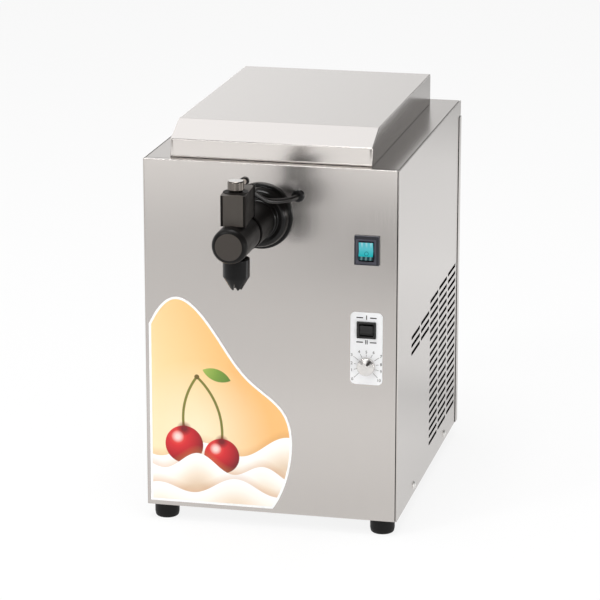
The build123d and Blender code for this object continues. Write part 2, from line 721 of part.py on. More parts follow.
def make_cream_well():
    """Folded steel tub hung under the deck, with a hole for the suction pipe."""
    well = prism_z(well_outline(WELL_WALL), WELL_FLOOR - WELL_WALL, DECK_UNDER)
    well += prism_z(well_outline(WELL_WALL + WELL_FLANGE), DECK_UNDER - WELL_WALL, DECK_UNDER)
    well -= prism_z(well_outline(0), WELL_FLOOR, DECK_UNDER + WELL_WALL)
    return well - pipe_passage()


def pipe_passage():
    """Clearance round the suction pipe where it passes the front wall of the well."""
    front = WELL_FRONT - WELL_WALL - INSULATION - 1
    return rod_y(PIPE_RADIUS + PIPE_HOLE_GAP, PIPE_X, front, WELL_FRONT + WELL_CORNER, SUCTION_Z)


def make_well_insulation():
    """Foam that fills the cabinet round the well, with a channel for the evaporator on the left."""
    top = DECK_UNDER - WELL_WALL
    half = INNER_HALF - SIDE_LIP - INSULATION_SIDE_GAP
    front = WELL_FRONT - WELL_WALL - INSULATION
    rear = WELL_FRONT + WELL_LENGTH + WELL_WALL + INSULATION
    foam = slab(-half, half, front, rear, INSULATION_BASE, top)
    foam -= prism_z(well_outline(WELL_WALL), WELL_FLOOR - WELL_WALL, top + 1)
    channel_front = COIL_END_Y - COIL_END_PITCH - COIL_CHANNEL
    channel_rear = WELL_FRONT + WELL_LENGTH - COIL_REAR_MARGIN + COIL_CHANNEL
    channel_right = WELL_LEFT + WELL_CORNER
    channel = slab(WELL_LEFT - COIL_CHANNEL, channel_right, channel_front, channel_rear, WELL_FLOOR, top)
    foam -= channel
    for y in (COIL_END_Y, COIL_END_Y - COIL_END_PITCH):
        foam -= rod_z(COIL_RADIUS + COIL_GAP / 2, COIL_X, y, INSULATION_BASE - 1, WELL_FLOOR + 1)
    return foam - pipe_passage()


def make_evaporator_coil():
    """One tube in level runs against the left wall of the well, with both ends brought down at the front."""
    rear = WELL_FRONT + WELL_LENGTH - COIL_REAR_MARGIN
    turn = COIL_END_Y + COIL_END_PITCH
    base = WELL_FLOOR + COIL_RISE
    points = [(COIL_X, COIL_END_Y, COIL_END_Z)]
    points.append((COIL_X, COIL_END_Y, base))
    for run in range(COIL_RUNS - 1):
        end = rear if run % 2 == 0 else turn
        points.append((COIL_X, end, base + run * COIL_PITCH))
        points.append((COIL_X, end, base + (run + 1) * COIL_PITCH))
    last = COIL_END_Y - COIL_END_PITCH
    points.append((COIL_X, last, base + (COIL_RUNS - 1) * COIL_PITCH))
    points.append((COIL_X, last, COIL_END_Z))
    return tube_along(points, COIL_RADIUS, 0.4 * COIL_PITCH)


def make_cream_container():
    """Open steel container that stands in the well."""
    base = WELL_FLOOR
    rim = base + CONTAINER_HEIGHT
    tub = prism_z(well_outline(-CONTAINER_CLEARANCE), base, rim)
    inside = well_outline(-CONTAINER_CLEARANCE - CONTAINER_WALL)
    return tub - prism_z(inside, base + CONTAINER_WALL, rim + 1)


def make_suction_pipe():
    """Steel pipe from the pump's left side, back into the well and down to the container's floor."""
    bottom = WELL_FLOOR + CONTAINER_WALL + PIPE_FLOOR_GAP
    points = [
        (PUMP_LEFT, SUCTION_Y, SUCTION_Z),
        (PIPE_X, SUCTION_Y, SUCTION_Z),
        (PIPE_X, PIPE_DROP_Y, SUCTION_Z),
        (PIPE_X, PIPE_DROP_Y, bottom),
    ]
    return tube_along(points, PIPE_RADIUS, PIPE_BEND) - tube_along(points, PIPE_BORE, PIPE_BEND)


def lid_profile():
    """Outline of the lid in (y, z) with its sloped front."""
    rear = LID_FRONT + LID_DEPTH
    points = [
        (LID_FRONT, LID_BASE),
        (LID_FRONT, LID_BASE + LID_BAND),
        (LID_FRONT + LID_SLOPE, LID_BASE + LID_RISE),
        (rear, LID_BASE + LID_RISE),
        (rear, LID_BASE),
    ]
    return make_face(Polyline(*points, close=True))


def make_lid_shell():
    """Folded steel lid, open below."""
    left = LID_CENTRE_X - LID_WIDTH / 2
    right = LID_CENTRE_X + LID_WIDTH / 2
    shell = prism_x(lid_profile(), left, right)
    hollow = prism_x(offset(lid_profile(), -LID_SHEET), left + LID_SHEET, right - LID_SHEET)
    mouth_rear = LID_FRONT + LID_DEPTH - LID_SHEET
    mouth_top = LID_BASE + 2 * LID_SHEET
    mouth = slab(left + LID_SHEET, right - LID_SHEET, LID_FRONT + LID_SHEET, mouth_rear, LID_BASE, mouth_top)
    return shell - hollow - mouth


def make_lid_liner():
    """Inner tray that closes the lid and drops a little way into the well."""
    inset = LID_SHEET + LINER_GAP
    left = LID_CENTRE_X - LID_WIDTH / 2 + inset
    right = LID_CENTRE_X + LID_WIDTH / 2 - inset
    front = LID_FRONT + inset
    rear = LID_FRONT + LID_DEPTH - inset
    liner = slab(left, right, front, rear, LID_BASE, LID_BASE + LINER_SHEET)
    return liner + prism_z(well_outline(-LID_PLUG_CLEARANCE), DECK_Z - LID_PLUG_DROP, LID_BASE)


def make_lid_gasket():
    """Rubber frame under the rim of the lid."""
    width = LID_WIDTH - 2 * GASKET_INSET
    depth = LID_DEPTH - 2 * GASKET_INSET
    frame = Rectangle(width, depth) - Rectangle(width - 2 * GASKET_WIDTH, depth - 2 * GASKET_WIDTH)
    place = Pos(LID_CENTRE_X, LID_FRONT + LID_DEPTH / 2)
    return prism_z(place * frame, DECK_Z + GASKET_SEAT_GAP, LID_BASE)


def make_head_flange():
    """Stepped black flange on the panel, with a spigot that reaches the pump."""
    corners = [
        (HEAD_BORE, -SHEET, 0),
        (SPIGOT_RADIUS, -SHEET, 0),
        (SPIGOT_RADIUS, 0, 0),
        (FLANGE_RADIUS, 0, 0),
        (FLANGE_RADIUS, FLANGE_EDGE, 1.2),
        (FLANGE_BODY_RADIUS, FLANGE_EDGE, 0),
        (FLANGE_BODY_RADIUS, FLANGE_BODY_EDGE, 3.0),
        (FLANGE_FACE_RADIUS, FLANGE_FACE, 2.0),
        (BOSS_RADIUS, FLANGE_FACE, 0),
        (BOSS_RADIUS, BOSS_FACE, 1.0),
        (HEAD_BORE, BOSS_FACE, 0),
    ]
    return turned_on_head(corners)


def make_outlet_collar():
    """Sleeve between flange and valve body, bored for the texture insert."""
    corners = [
        (COLLAR_BORE, BOSS_FACE, 0),
        (COLLAR_RADIUS, BOSS_FACE, 0),
        (COLLAR_RADIUS, BOSS_FACE + COLLAR_LENGTH / 2, 0),
        (COLLAR_FRONT_RADIUS, COLLAR_FACE, 0.8),
        (COLLAR_BORE, COLLAR_FACE, 0),
    ]
    return turned_on_head(corners)


def make_texture_insert():
    """Labyrinth rod: notched discs that turn the cream over on its way out."""
    radius = COLLAR_BORE - INSERT_CLEARANCE
    insert = rod_y(INSERT_ROD_RADIUS, HEAD_X, FRONT_Y - COLLAR_FACE, FRONT_Y - BOSS_FACE, HEAD_Z)
    step = (COLLAR_LENGTH - INSERT_DISC_THICKNESS) / INSERT_DISCS
    for index in range(INSERT_DISCS):
        rear = FRONT_Y - BOSS_FACE - (index + 0.5) * step
        front = rear - INSERT_DISC_THICKNESS
        disc = rod_y(radius, HEAD_X, front, rear, HEAD_Z)
        up = 1 if index % 2 == 0 else -1
        edge = HEAD_Z + up * (radius - INSERT_NOTCH)
        rim = HEAD_Z + up * (radius + 1)
        insert += disc - slab(HEAD_X - radius, HEAD_X + radius, front - 1, rear + 1, edge, rim)
    return insert


def make_barrel_seal():
    """Rubber ring in the joint between collar and valve body."""
    corners = [
        (COLLAR_BORE, COLLAR_FACE, 0),
        (SEAL_RADIUS, COLLAR_FACE, 0),
        (SEAL_RADIUS, VALVE_FACE, 0),
        (COLLAR_BORE, VALVE_FACE, 0),
    ]
    return turned_on_head(corners)


def make_valve_body():
    """Round-ended valve body with its neck, bayonet lugs, cream bore and plunger bore."""
    corners = [
        (0, VALVE_FACE, 0),
        (VALVE_RADIUS, VALVE_FACE, 0.8),
        (VALVE_RADIUS, HEAD_REACH, VALVE_END_ROUND),
        (0, HEAD_REACH, 0),
    ]
    body = turned_on_head(corners)
    body += rod_z(NECK_RADIUS, HEAD_X, VALVE_Y, HEAD_Z - NECK_DROP, HEAD_Z)
    for side in (-1, 1):
        reach = HEAD_X + side * LUG_RADIUS
        low = HEAD_Z - LUG_DROP
        body += slab(HEAD_X, reach, VALVE_Y - LUG_WIDTH / 2, VALVE_Y + LUG_WIDTH / 2, low, low + LUG_HEIGHT)
    body -= rod_y(HEAD_BORE, HEAD_X, VALVE_Y, FRONT_Y - VALVE_FACE, HEAD_Z)
    body -= rod_z(NECK_BORE, HEAD_X, VALVE_Y, HEAD_Z - NECK_DROP - 1, HEAD_Z + PLUNGER_SEAT)
    body -= rod_z(TUBE_RADIUS, HEAD_X, VALVE_Y, HEAD_Z + PLUNGER_SEAT, HEAD_Z + VALVE_RADIUS + 1)
    seat_front = VALVE_Y - COIL_BLOCK_FRONT - 1
    seat = HEAD_Z + COIL_BLOCK_BASE - COIL_SEAT_GAP
    sides = (HEAD_X - VALVE_RADIUS, HEAD_X + VALVE_RADIUS)
    return body - slab(*sides, seat_front, FRONT_Y - VALVE_FACE + 1, seat, HEAD_Z + VALVE_RADIUS + 1)


def make_star_nozzle():
    """Twist-off nozzle: bored for the neck, grooved for the lugs, slotted at its tip."""
    bore = NECK_RADIUS + NOZZLE_FIT
    groove = LUG_RADIUS + NOZZLE_FIT
    top = -VALVE_RADIUS - NOZZLE_GAP
    seat = -NECK_DROP - NOZZLE_FIT
    groove_top = -LUG_DROP + LUG_HEIGHT + NOZZLE_FIT
    groove_base = -LUG_DROP - NOZZLE_FIT
    corners = [
        (bore, top, 0),
        (NOZZLE_RADIUS, top, 0.8),
        (NOZZLE_RADIUS, -NOZZLE_SHOULDER_DROP, 0),
        (NOZZLE_TIP_RADIUS, -NOZZLE_TIP_DROP, 0),
        (NOZZLE_TIP_BORE, -NOZZLE_TIP_DROP, 0),
        (NECK_BORE, seat, 0),
        (bore, seat, 0),
        (bore, groove_base, 0),
        (groove, groove_base, 0),
        (groove, groove_top, 0),
        (bore, groove_top, 0),
    ]
    nozzle = turned_on_valve(corners)
    axis = Pos(HEAD_X, VALVE_Y, HEAD_Z)
    entry_width = LUG_WIDTH + 4 * NOZZLE_FIT
    entry = Pos(0, 0, (top + groove_base) / 2) * Box(2 * groove, entry_width, top - groove_base + NOZZLE_GAP)
    nozzle -= axis * Rot(0, 0, -LUG_TURN) * entry
    tip = -NOZZLE_TIP_DROP
    mouth = [(-NOZZLE_SLOT_WIDTH, tip - 1), (NOZZLE_SLOT_WIDTH, tip - 1)]
    wedge = make_face(Polyline((0, tip + NOZZLE_SLOT_LENGTH), *mouth, close=True))
    slot = extrude(Plane.XZ * wedge, amount=NOZZLE_RADIUS)
    for index in range(NOZZLE_SLOTS):
        nozzle -= axis * Rot(0, 0, index * 360 / NOZZLE_SLOTS) * slot
    return nozzle


def make_plunger_tube():
    """Closed guide tube of the solenoid, screwed into the valve body, with a stud for the nut."""
    stud_top = COIL_BLOCK_TOP + COIL_WASHER_HEIGHT + NUT_HEIGHT - NUT_EDGE
    corners = [
        (TUBE_BORE, PLUNGER_SEAT + TUBE_ROOT, 0),
        (TUBE_RADIUS - FIT_SLACK, PLUNGER_SEAT + TUBE_ROOT, 0),
        (TUBE_RADIUS - FIT_SLACK, TUBE_TOP, 0),
        (TUBE_STUD_RADIUS, TUBE_TOP, 0),
        (TUBE_STUD_RADIUS, stud_top, 0),
        (0, stud_top, 0),
        (0, PLUNGER_TOP + 2 * PLUNGER_STROKE, 0),
        (TUBE_BORE, PLUNGER_TOP + 2 * PLUNGER_STROKE, 0),
    ]
    return turned_on_valve(corners)


def make_valve_plunger():
    """Plunger with a soft cone that closes the neck's bore."""
    shaft = TUBE_BORE - PLUNGER_FIT
    corners = [
        (0, PLUNGER_SEAT - PLUNGER_TIP, 0),
        (NECK_BORE - PLUNGER_TIP, PLUNGER_SEAT - PLUNGER_TIP, 0),
        (shaft, PLUNGER_SEAT + PLUNGER_TIP / 2, 0),
        (shaft, PLUNGER_TOP, 0),
        (0, PLUNGER_TOP, 0),
    ]
    return turned_on_valve(corners)


def make_valve_spring():
    """Return spring above the plunger, as a plain sleeve."""
    base = PLUNGER_TOP + PLUNGER_FIT
    top = PLUNGER_TOP + 2 * PLUNGER_STROKE - PLUNGER_FIT
    inner = SPRING_RADIUS - 2 * SPRING_WIRE
    corners = [(inner, base, 0), (SPRING_RADIUS, base, 0), (SPRING_RADIUS, top, 0), (inner, top, 0)]
    return turned_on_valve(corners)


def coil_block_plan():
    """Plan of the coil moulding: square front, round left rear, connector tail at the right rear."""
    half = COIL_BLOCK_WIDTH / 2
    plan = Circle(COIL_BLOCK_ROUND)
    plan += Pos(0, -COIL_BLOCK_FRONT / 2) * Rectangle(COIL_BLOCK_WIDTH, COIL_BLOCK_FRONT)
    plan += Pos(half / 2, COIL_BLOCK_REAR / 2) * Rectangle(half, COIL_BLOCK_REAR)
    return plan


def coil_place():
    """Place of the coil on the valve axis, a little turned on its tube."""
    return Pos(HEAD_X, VALVE_Y, HEAD_Z) * Rot(0, 0, COIL_BLOCK_TURN)


def make_solenoid_coil():
    """Moulded coil with a connector tail, a raised ring and a washer under the nut."""
    coil = prism_z(coil_block_plan(), COIL_BLOCK_BASE, COIL_BLOCK_TOP)
    front = [edge for edge in coil.edges().filter_by(Axis.Z) if edge.center().Y < -COIL_BLOCK_FRONT + 0.1]
    coil = fillet(front, COIL_BLOCK_EDGE)
    top = COIL_BLOCK_TOP
    coil += rod_z(COIL_RING_RADIUS, 0, 0, top, top + COIL_RING_HEIGHT)
    coil += rod_z(COIL_WASHER_RADIUS, 0, 0, top, top + COIL_WASHER_HEIGHT)
    coil -= rod_z(TUBE_RADIUS, 0, 0, COIL_BLOCK_BASE - 1, TUBE_TOP)
    coil -= rod_z(TUBE_STUD_RADIUS + FIT_SLACK, 0, 0, TUBE_TOP - 1, top + COIL_WASHER_HEIGHT + 1)
    socket_end, first = lead_points()[:2]
    socket = Plane(first, z_dir=socket_end - first) * Circle(LEAD_RADIUS)
    coil = coil_place() * coil - extrude(socket, amount=(socket_end - first).length)
    return coil - rod_y(COLLAR_RADIUS + COIL_COLLAR_GAP, HEAD_X, FRONT_Y - VALVE_FACE, FRONT_Y, HEAD_Z)


def make_coil_nut():
    """Bright round nut on the tube's stud."""
    base = COIL_BLOCK_TOP + COIL_WASHER_HEIGHT
    top = base + NUT_HEIGHT
    cap = top - NUT_EDGE
    bore = TUBE_STUD_RADIUS + FIT_SLACK
    outside = [(bore, base, 0), (NUT_RADIUS, base, NUT_EDGE), (NUT_RADIUS, top, NUT_EDGE), (0, top, 0)]
    return turned_on_valve(outside + [(0, cap, 0), (bore, cap, 0)])


def lead_exit():
    """Middle of the lead's exit on the rear face of the coil's tail."""
    turn = radians(COIL_BLOCK_TURN)
    x = HEAD_X + LEAD_EXIT_X * cos(turn) - COIL_BLOCK_REAR * sin(turn)
    y = VALVE_Y + LEAD_EXIT_X * sin(turn) + COIL_BLOCK_REAR * cos(turn)
    return Vector(x, y, HEAD_Z + COIL_BLOCK_TOP - LEAD_EXIT_DROP)


def lead_points():
    """Route of the lead: out of the coil's tail, through the panel and down to the board's terminal."""
    hole_x = HEAD_X + LEAD_HOLE_X
    hole_z = HEAD_Z + LEAD_HOLE_RISE
    board_y = BOARD_BACK + TERMINAL_DEPTH / 2
    first = Vector(HEAD_X + 12, FRONT_Y - 57, HEAD_Z + 34)
    inward = (lead_exit() - first).normalized() * LEAD_SOCKET
    return [
        lead_exit() + inward,
        first,
        Vector(HEAD_X + 17.5, FRONT_Y - 45, HEAD_Z + 26.5),
        Vector(HEAD_X + 26, FRONT_Y - 30, HEAD_Z + 23),
        Vector(HEAD_X + 34.5, FRONT_Y - 16, HEAD_Z + 22),
        Vector(hole_x, FRONT_Y - 7.5, hole_z),
        Vector(hole_x, FRONT_Y + 15, hole_z),
        Vector(hole_x + 15, FRONT_Y + 27, hole_z - 14),
        Vector(hole_x + 33, FRONT_Y + 28, hole_z - 38),
        Vector(TERMINAL_X - 4, board_y, TERMINAL_TOP + 34),
        Vector(TERMINAL_X, board_y, TERMINAL_TOP + 16),
        Vector(TERMINAL_X, board_y, TERMINAL_TOP),
    ]


def make_solenoid_lead():
    """Black lead with bends as large as its runs allow."""
    points = lead_points()
    radii = []
    for before, corner, after in zip(points, points[1:], points[2:]):
        turn = radians((corner - before).get_angle(after - corner))
        run = min((corner - before).length, (after - corner).length)
        radii.append(0.45 * run / tan(turn / 2))
    print("lead bend radii", [round(radius, 1) for radius in radii])
    return tube_along(points, LEAD_RADIUS, radii)


def make_lead_grommet():
    """Rubber grommet where the lead enters the panel."""
    x = HEAD_X + LEAD_HOLE_X
    z = HEAD_Z + LEAD_HOLE_RISE
    grommet = rod_y(GROMMET_NECK, x, FRONT_Y, PANEL_BACK, z)
    corners = [(0, 0, 0), (GROMMET_RADIUS, 0, 0), (GROMMET_RADIUS, GROMMET_LIP, GROMMET_ROUND)]
    lip = rounded_face(corners + [(0, GROMMET_LIP, 0)])
    turned = revolve(Plane.XZ * lip, Axis.Z)
    grommet += Pos(x, FRONT_Y, z) * Rot(90, 0, 0) * turned
    grommet += rod_y(GROMMET_RADIUS, x, PANEL_BACK, PANEL_BACK + GROMMET_LIP, z)
    return grommet - rod_y(LEAD_RADIUS, x, FRONT_Y - 2 * GROMMET_LIP, PANEL_BACK + 2 * GROMMET_LIP, z)


def make_air_inlet_bush():
    """Black bush in the panel that carries the air screw."""
    x = HEAD_X + AIR_SCREW_X
    z = HEAD_Z + AIR_SCREW_RISE
    bush = rod_y(AIR_BUSH_RADIUS, x, FRONT_Y - AIR_BUSH_LENGTH, FRONT_Y, z)
    bush += rod_y(AIR_BUSH_NECK, x, FRONT_Y, PANEL_BACK, z)
    bore = AIR_SCREW_RADIUS + AIR_SCREW_FIT
    return bush - rod_y(bore, x, FRONT_Y - 2 * AIR_BUSH_LENGTH, PANEL_BACK + 1, z)


def make_air_screw():
    """Slotted needle screw that meters air into the suction channel."""
    x = HEAD_X + AIR_SCREW_X
    z = HEAD_Z + AIR_SCREW_RISE
    face = FRONT_Y - AIR_BUSH_LENGTH + AIR_SCREW_RECESS
    screw = rod_y(AIR_SCREW_RADIUS, x, face, PANEL_BACK - GEAR_SIDE_GAP, z)
    screw += rod_y(AIR_NEEDLE_RADIUS, x, PANEL_BACK - GEAR_SIDE_GAP, PANEL_BACK + PUMP_FRONT_WALL / 2, z)
    half = AIR_SCREW_SLOT / 2
    reach = AIR_SCREW_RADIUS + 1
    return screw - slab(x - reach, x + reach, face - 1, face + AIR_SCREW_SLOT, z - half, z + half)


def gear_face():
    """Outline of one pump gear, with a tooth on the +X side."""
    base_radius = PITCH_RADIUS * cos(radians(GEAR_PRESSURE_ANGLE))

    def spread(radius):
        """Involute angle at a radius."""
        pressure = acos(min(1.0, base_radius / radius))
        return tan(pressure) - pressure

    half_tooth = pi / (2 * GEAR_TEETH) - GEAR_BACKLASH / (2 * PITCH_RADIUS)
    flank = [(ROOT_RADIUS, half_tooth + spread(PITCH_RADIUS))]
    for index in range(GEAR_FLANK_POINTS):
        radius = base_radius + (TIP_RADIUS - base_radius) * index / (GEAR_FLANK_POINTS - 1)
        flank.append((radius, half_tooth + spread(PITCH_RADIUS) - spread(radius)))
    points = []
    for tooth in range(GEAR_TEETH):
        middle = tooth * 2 * pi / GEAR_TEETH
        rising = [(radius, middle - angle) for radius, angle in flank]
        falling = [(radius, middle + angle) for radius, angle in reversed(flank)]
        points += [(radius * cos(angle), radius * sin(angle)) for radius, angle in rising + falling]
    return make_face(Polyline(*points, close=True))


def make_pump_body():
    """Pump block: two gear bores, suction channel, outlet chamber and the idler's pin."""
    body = slab(PUMP_LEFT, PUMP_RIGHT, PANEL_BACK, COVER_FRONT, PUMP_BASE, PUMP_TOP)
    rear = COVER_FRONT + 1
    floor = PANEL_BACK + PUMP_FRONT_WALL
    for x in (DRIVE_X, IDLER_X):
        body -= rod_y(GEAR_BORE, x, floor, rear, PUMP_Z)
    body -= slab(HEAD_X - PUMP_PORT_HALF, HEAD_X + PUMP_PORT_HALF, floor, rear, PUMP_Z, SUCTION_Z)
    body -= rod_x(PIPE_BORE, PUMP_LEFT - 1, HEAD_X + PUMP_PORT_HALF, SUCTION_Y, SUCTION_Z)
    body -= slab(HEAD_X - PUMP_PORT_HALF, HEAD_X + PUMP_PORT_HALF, floor, rear, HEAD_Z, PUMP_Z)
    body -= rod_y(HEAD_BORE, HEAD_X, PANEL_BACK - 1, GEAR_BACK, HEAD_Z)
    air_z = HEAD_Z + AIR_SCREW_RISE
    body -= rod_y(AIR_HOLE_RADIUS, HEAD_X + AIR_SCREW_X, PANEL_BACK - 1, SUCTION_Y, air_z)
    body -= rod_y(PUMP_SHAFT_RADIUS + SHAFT_FIT, DRIVE_X, floor - PUMP_SHAFT_POCKET, rear, PUMP_Z)
    body += rod_y(IDLER_PIN_RADIUS, IDLER_X, floor - 1, COVER_FRONT, PUMP_Z)
    for x, z in pump_screw_places():
        body -= rod_y(PUMP_SCREW_RADIUS, x, COVER_FRONT - PUMP_SCREW_DEPTH, rear, z)
    return body


def pump_screw_places():
    """Corners of the pump where its cover is screwed on."""
    xs = (PUMP_LEFT + PUMP_SCREW_INSET, PUMP_RIGHT - PUMP_SCREW_INSET)
    zs = (PUMP_BASE + PUMP_SCREW_INSET, PUMP_Z + TIP_RADIUS)
    return [(x, z) for x in xs for z in zs]


def make_pump_rear_cover():
    """Plate that closes the pump and carries the driven shaft."""
    cover = slab(PUMP_LEFT, PUMP_RIGHT, COVER_FRONT, COVER_BACK, PUMP_BASE, PUMP_TOP)
    cover -= rod_y(PUMP_SHAFT_RADIUS + SHAFT_FIT, DRIVE_X, COVER_FRONT - 1, COVER_BACK + 1, PUMP_Z)
    for x, z in pump_screw_places():
        cover -= rod_y(PUMP_SCREW_RADIUS, x, COVER_FRONT - 1, COVER_BACK + 1, z)
    return cover


def make_pump_screws():
    """Cap screws of the pump's cover."""
    screws = []
    for x, z in pump_screw_places():
        screw = rod_y(PUMP_SCREW_RADIUS - FIT_SLACK, x, COVER_FRONT - PUMP_SCREW_DEPTH, COVER_BACK, z)
        screws.append(screw + rod_y(PUMP_SCREW_HEAD, x, COVER_BACK, COVER_BACK + PUMP_SCREW_HEAD_HEIGHT, z))
    return Compound(children=screws)


def make_pump_drive_gear():
    """Driven gear in one piece with its shaft."""
    gear = prism_y(Pos(DRIVE_X, PUMP_Z) * gear_face(), GEAR_FRONT, GEAR_BACK)
    shaft_front = PANEL_BACK + PUMP_FRONT_WALL - PUMP_SHAFT_POCKET + GEAR_SIDE_GAP
    return gear + rod_y(PUMP_SHAFT_RADIUS, DRIVE_X, shaft_front, PULLEY_BACK, PUMP_Z)


def make_pump_idler_gear():
    """Idler gear on the pump body's pin, half a tooth round from the driven gear."""
    face = Pos(IDLER_X, PUMP_Z) * Rot(0, 0, 180 / GEAR_TEETH) * gear_face()
    gear = prism_y(face, GEAR_FRONT, GEAR_BACK)
    return gear - rod_y(IDLER_PIN_RADIUS + SHAFT_FIT, IDLER_X, GEAR_FRONT - 1, GEAR_BACK + 1, PUMP_Z)


def make_pulley(radius, bore, x, z):
    """Flat pulley with a flange at each side."""
    rim = radius + PULLEY_FLANGE_RISE
    pulley = rod_y(radius, x, PULLEY_FRONT, PULLEY_BACK, z)
    pulley += rod_y(rim, x, PULLEY_FRONT, PULLEY_FRONT + PULLEY_FLANGE, z)
    pulley += rod_y(rim, x, PULLEY_BACK - PULLEY_FLANGE, PULLEY_BACK, z)
    return pulley - rod_y(bore + FIT_SLACK, x, PULLEY_FRONT - 1, PULLEY_BACK + 1, z)


def make_drive_belt():
    """Closed belt round both pulleys."""

    def loop(growth):
        """Outline round both pulleys, grown outwards."""
        wheels = Pos(DRIVE_X, PUMP_Z) * Circle(PUMP_PULLEY_RADIUS + growth)
        wheels += Pos(DRIVE_X, MOTOR_Z) * Circle(MOTOR_PULLEY_RADIUS + growth)
        return make_hull(wheels.edges())

    outline = loop(BELT_RUN_GAP + BELT_THICKNESS) - loop(BELT_RUN_GAP)
    side = PULLEY_FLANGE + BELT_SIDE_GAP
    return prism_y(outline, PULLEY_FRONT + side, PULLEY_BACK - side)


def make_drive_motor():
    """Motor can with a rim at each end, bored for its shaft."""
    front = BRACKET_BACK
    rear = front + MOTOR_LENGTH
    motor = rod_y(MOTOR_RADIUS, DRIVE_X, front, rear, MOTOR_Z)
    motor += rod_y(MOTOR_RADIUS + MOTOR_RIM, DRIVE_X, front, front + MOTOR_RIM_LENGTH, MOTOR_Z)
    motor += rod_y(MOTOR_RADIUS + MOTOR_RIM, DRIVE_X, rear - MOTOR_RIM_LENGTH, rear, MOTOR_Z)
    depth = front + MOTOR_SHAFT_DEPTH
    return motor - rod_y(MOTOR_SHAFT_RADIUS + SHAFT_FIT, DRIVE_X, front - 1, depth, MOTOR_Z)


def make_motor_shaft():
    """Motor shaft, out through the bracket to the pulley."""
    rear = BRACKET_BACK + MOTOR_SHAFT_DEPTH - GEAR_SIDE_GAP
    return rod_y(MOTOR_SHAFT_RADIUS, DRIVE_X, PULLEY_FRONT, rear, MOTOR_Z)


def make_motor_bracket():
    """Angle plate on the base that carries the motor."""
    top = MOTOR_Z + MOTOR_RADIUS + MOTOR_RIM
    left = DRIVE_X - BRACKET_HALF
    right = DRIVE_X + BRACKET_HALF
    plate = slab(left, right, BRACKET_FRONT, BRACKET_BACK, TRAY_TOP, top)
    foot_rear = BRACKET_BACK + BRACKET_FOOT
    foot_top = TRAY_TOP + BRACKET_SHEET
    plate += slab(left, right, BRACKET_BACK, foot_rear, TRAY_TOP, foot_top)
    return plate - rod_y(BRACKET_HOLE, DRIVE_X, BRACKET_FRONT - 1, BRACKET_BACK + 1, MOTOR_Z)


def mount_places():
    """Axes of the compressor's four rubber mounts."""
    reach = COMPRESSOR_PLATE_HALF - MOUNT_INSET
    return [(COMPRESSOR_X + i * reach, COMPRESSOR_Y + j * reach) for i in (-1, 1) for j in (-1, 1)]


def make_compressor():
    """Hermetic can on a foot plate, with a discharge port at the right and a suction port at the front."""
    base = COMPRESSOR_BASE
    can = rounded_face(
        [
            (0, base, 0),
            (COMPRESSOR_RADIUS, base, 0),
            (COMPRESSOR_RADIUS, base + COMPRESSOR_HEIGHT, COMPRESSOR_ROUND),
            (0, base + COMPRESSOR_HEIGHT, 0),
        ]
    )
    body = Pos(COMPRESSOR_X, COMPRESSOR_Y, 0) * revolve(Plane.XZ * can, Axis.Z)
    side = 2 * COMPRESSOR_PLATE_HALF
    plate = Box(side, side, COMPRESSOR_PLATE)
    body += Pos(COMPRESSOR_X, COMPRESSOR_Y, base + COMPRESSOR_PLATE / 2) * plate
    discharge_y = COMPRESSOR_Y + PORT_OFFSET
    body += rod_x(PORT_RADIUS, COMPRESSOR_X, discharge_end(), discharge_y, PORT_Z)
    body += rod_y(PORT_RADIUS, COIL_X, suction_end(), COMPRESSOR_Y, PORT_Z)
    return body


def discharge_end():
    """X of the discharge port's end face."""
    return COMPRESSOR_X + sqrt(COMPRESSOR_RADIUS**2 - PORT_OFFSET**2) + PORT_LENGTH


def suction_end():
    """Y of the suction port's end face, in line with the evaporator's end."""
    side = COMPRESSOR_X - COIL_X
    return COMPRESSOR_Y - sqrt(COMPRESSOR_RADIUS**2 - side**2) - PORT_LENGTH


def make_compressor_mounts():
    """Four rubber mounts under the compressor's plate."""
    mounts = [rod_z(MOUNT_RADIUS, x, y, TRAY_TOP, COMPRESSOR_BASE) for x, y in mount_places()]
    return Compound(children=mounts)


def condenser_tube_levels():
    """Heights of the condenser's tube rows."""
    return [CONDENSER_BASE + (row + 0.5) * CONDENSER_ROW for row in range(CONDENSER_TUBE_ROWS)]


def make_condenser():
    """Fin block on straight tubes, held by two end plates that stand on the base."""
    block = Part()
    for y in (CONDENSER_FRONT, CONDENSER_BACK - CONDENSER_PLATE):
        block += slab(CONDENSER_LEFT, CONDENSER_RIGHT, y, y + CONDENSER_PLATE, TRAY_TOP, CONDENSER_TOP)
    for z in condenser_tube_levels():
        block += rod_y(CONDENSER_TUBE, CONDENSER_X, CONDENSER_FRONT, CONDENSER_BACK, z)
    fins = int((CONDENSER_LENGTH - 2 * CONDENSER_PLATE) / CONDENSER_FIN_PITCH)
    for fin in range(1, fins):
        y = CONDENSER_FRONT + CONDENSER_PLATE + fin * CONDENSER_FIN_PITCH
        block += slab(CONDENSER_LEFT, CONDENSER_RIGHT, y, y + CONDENSER_FIN, CONDENSER_BASE, CONDENSER_TOP)
    return block


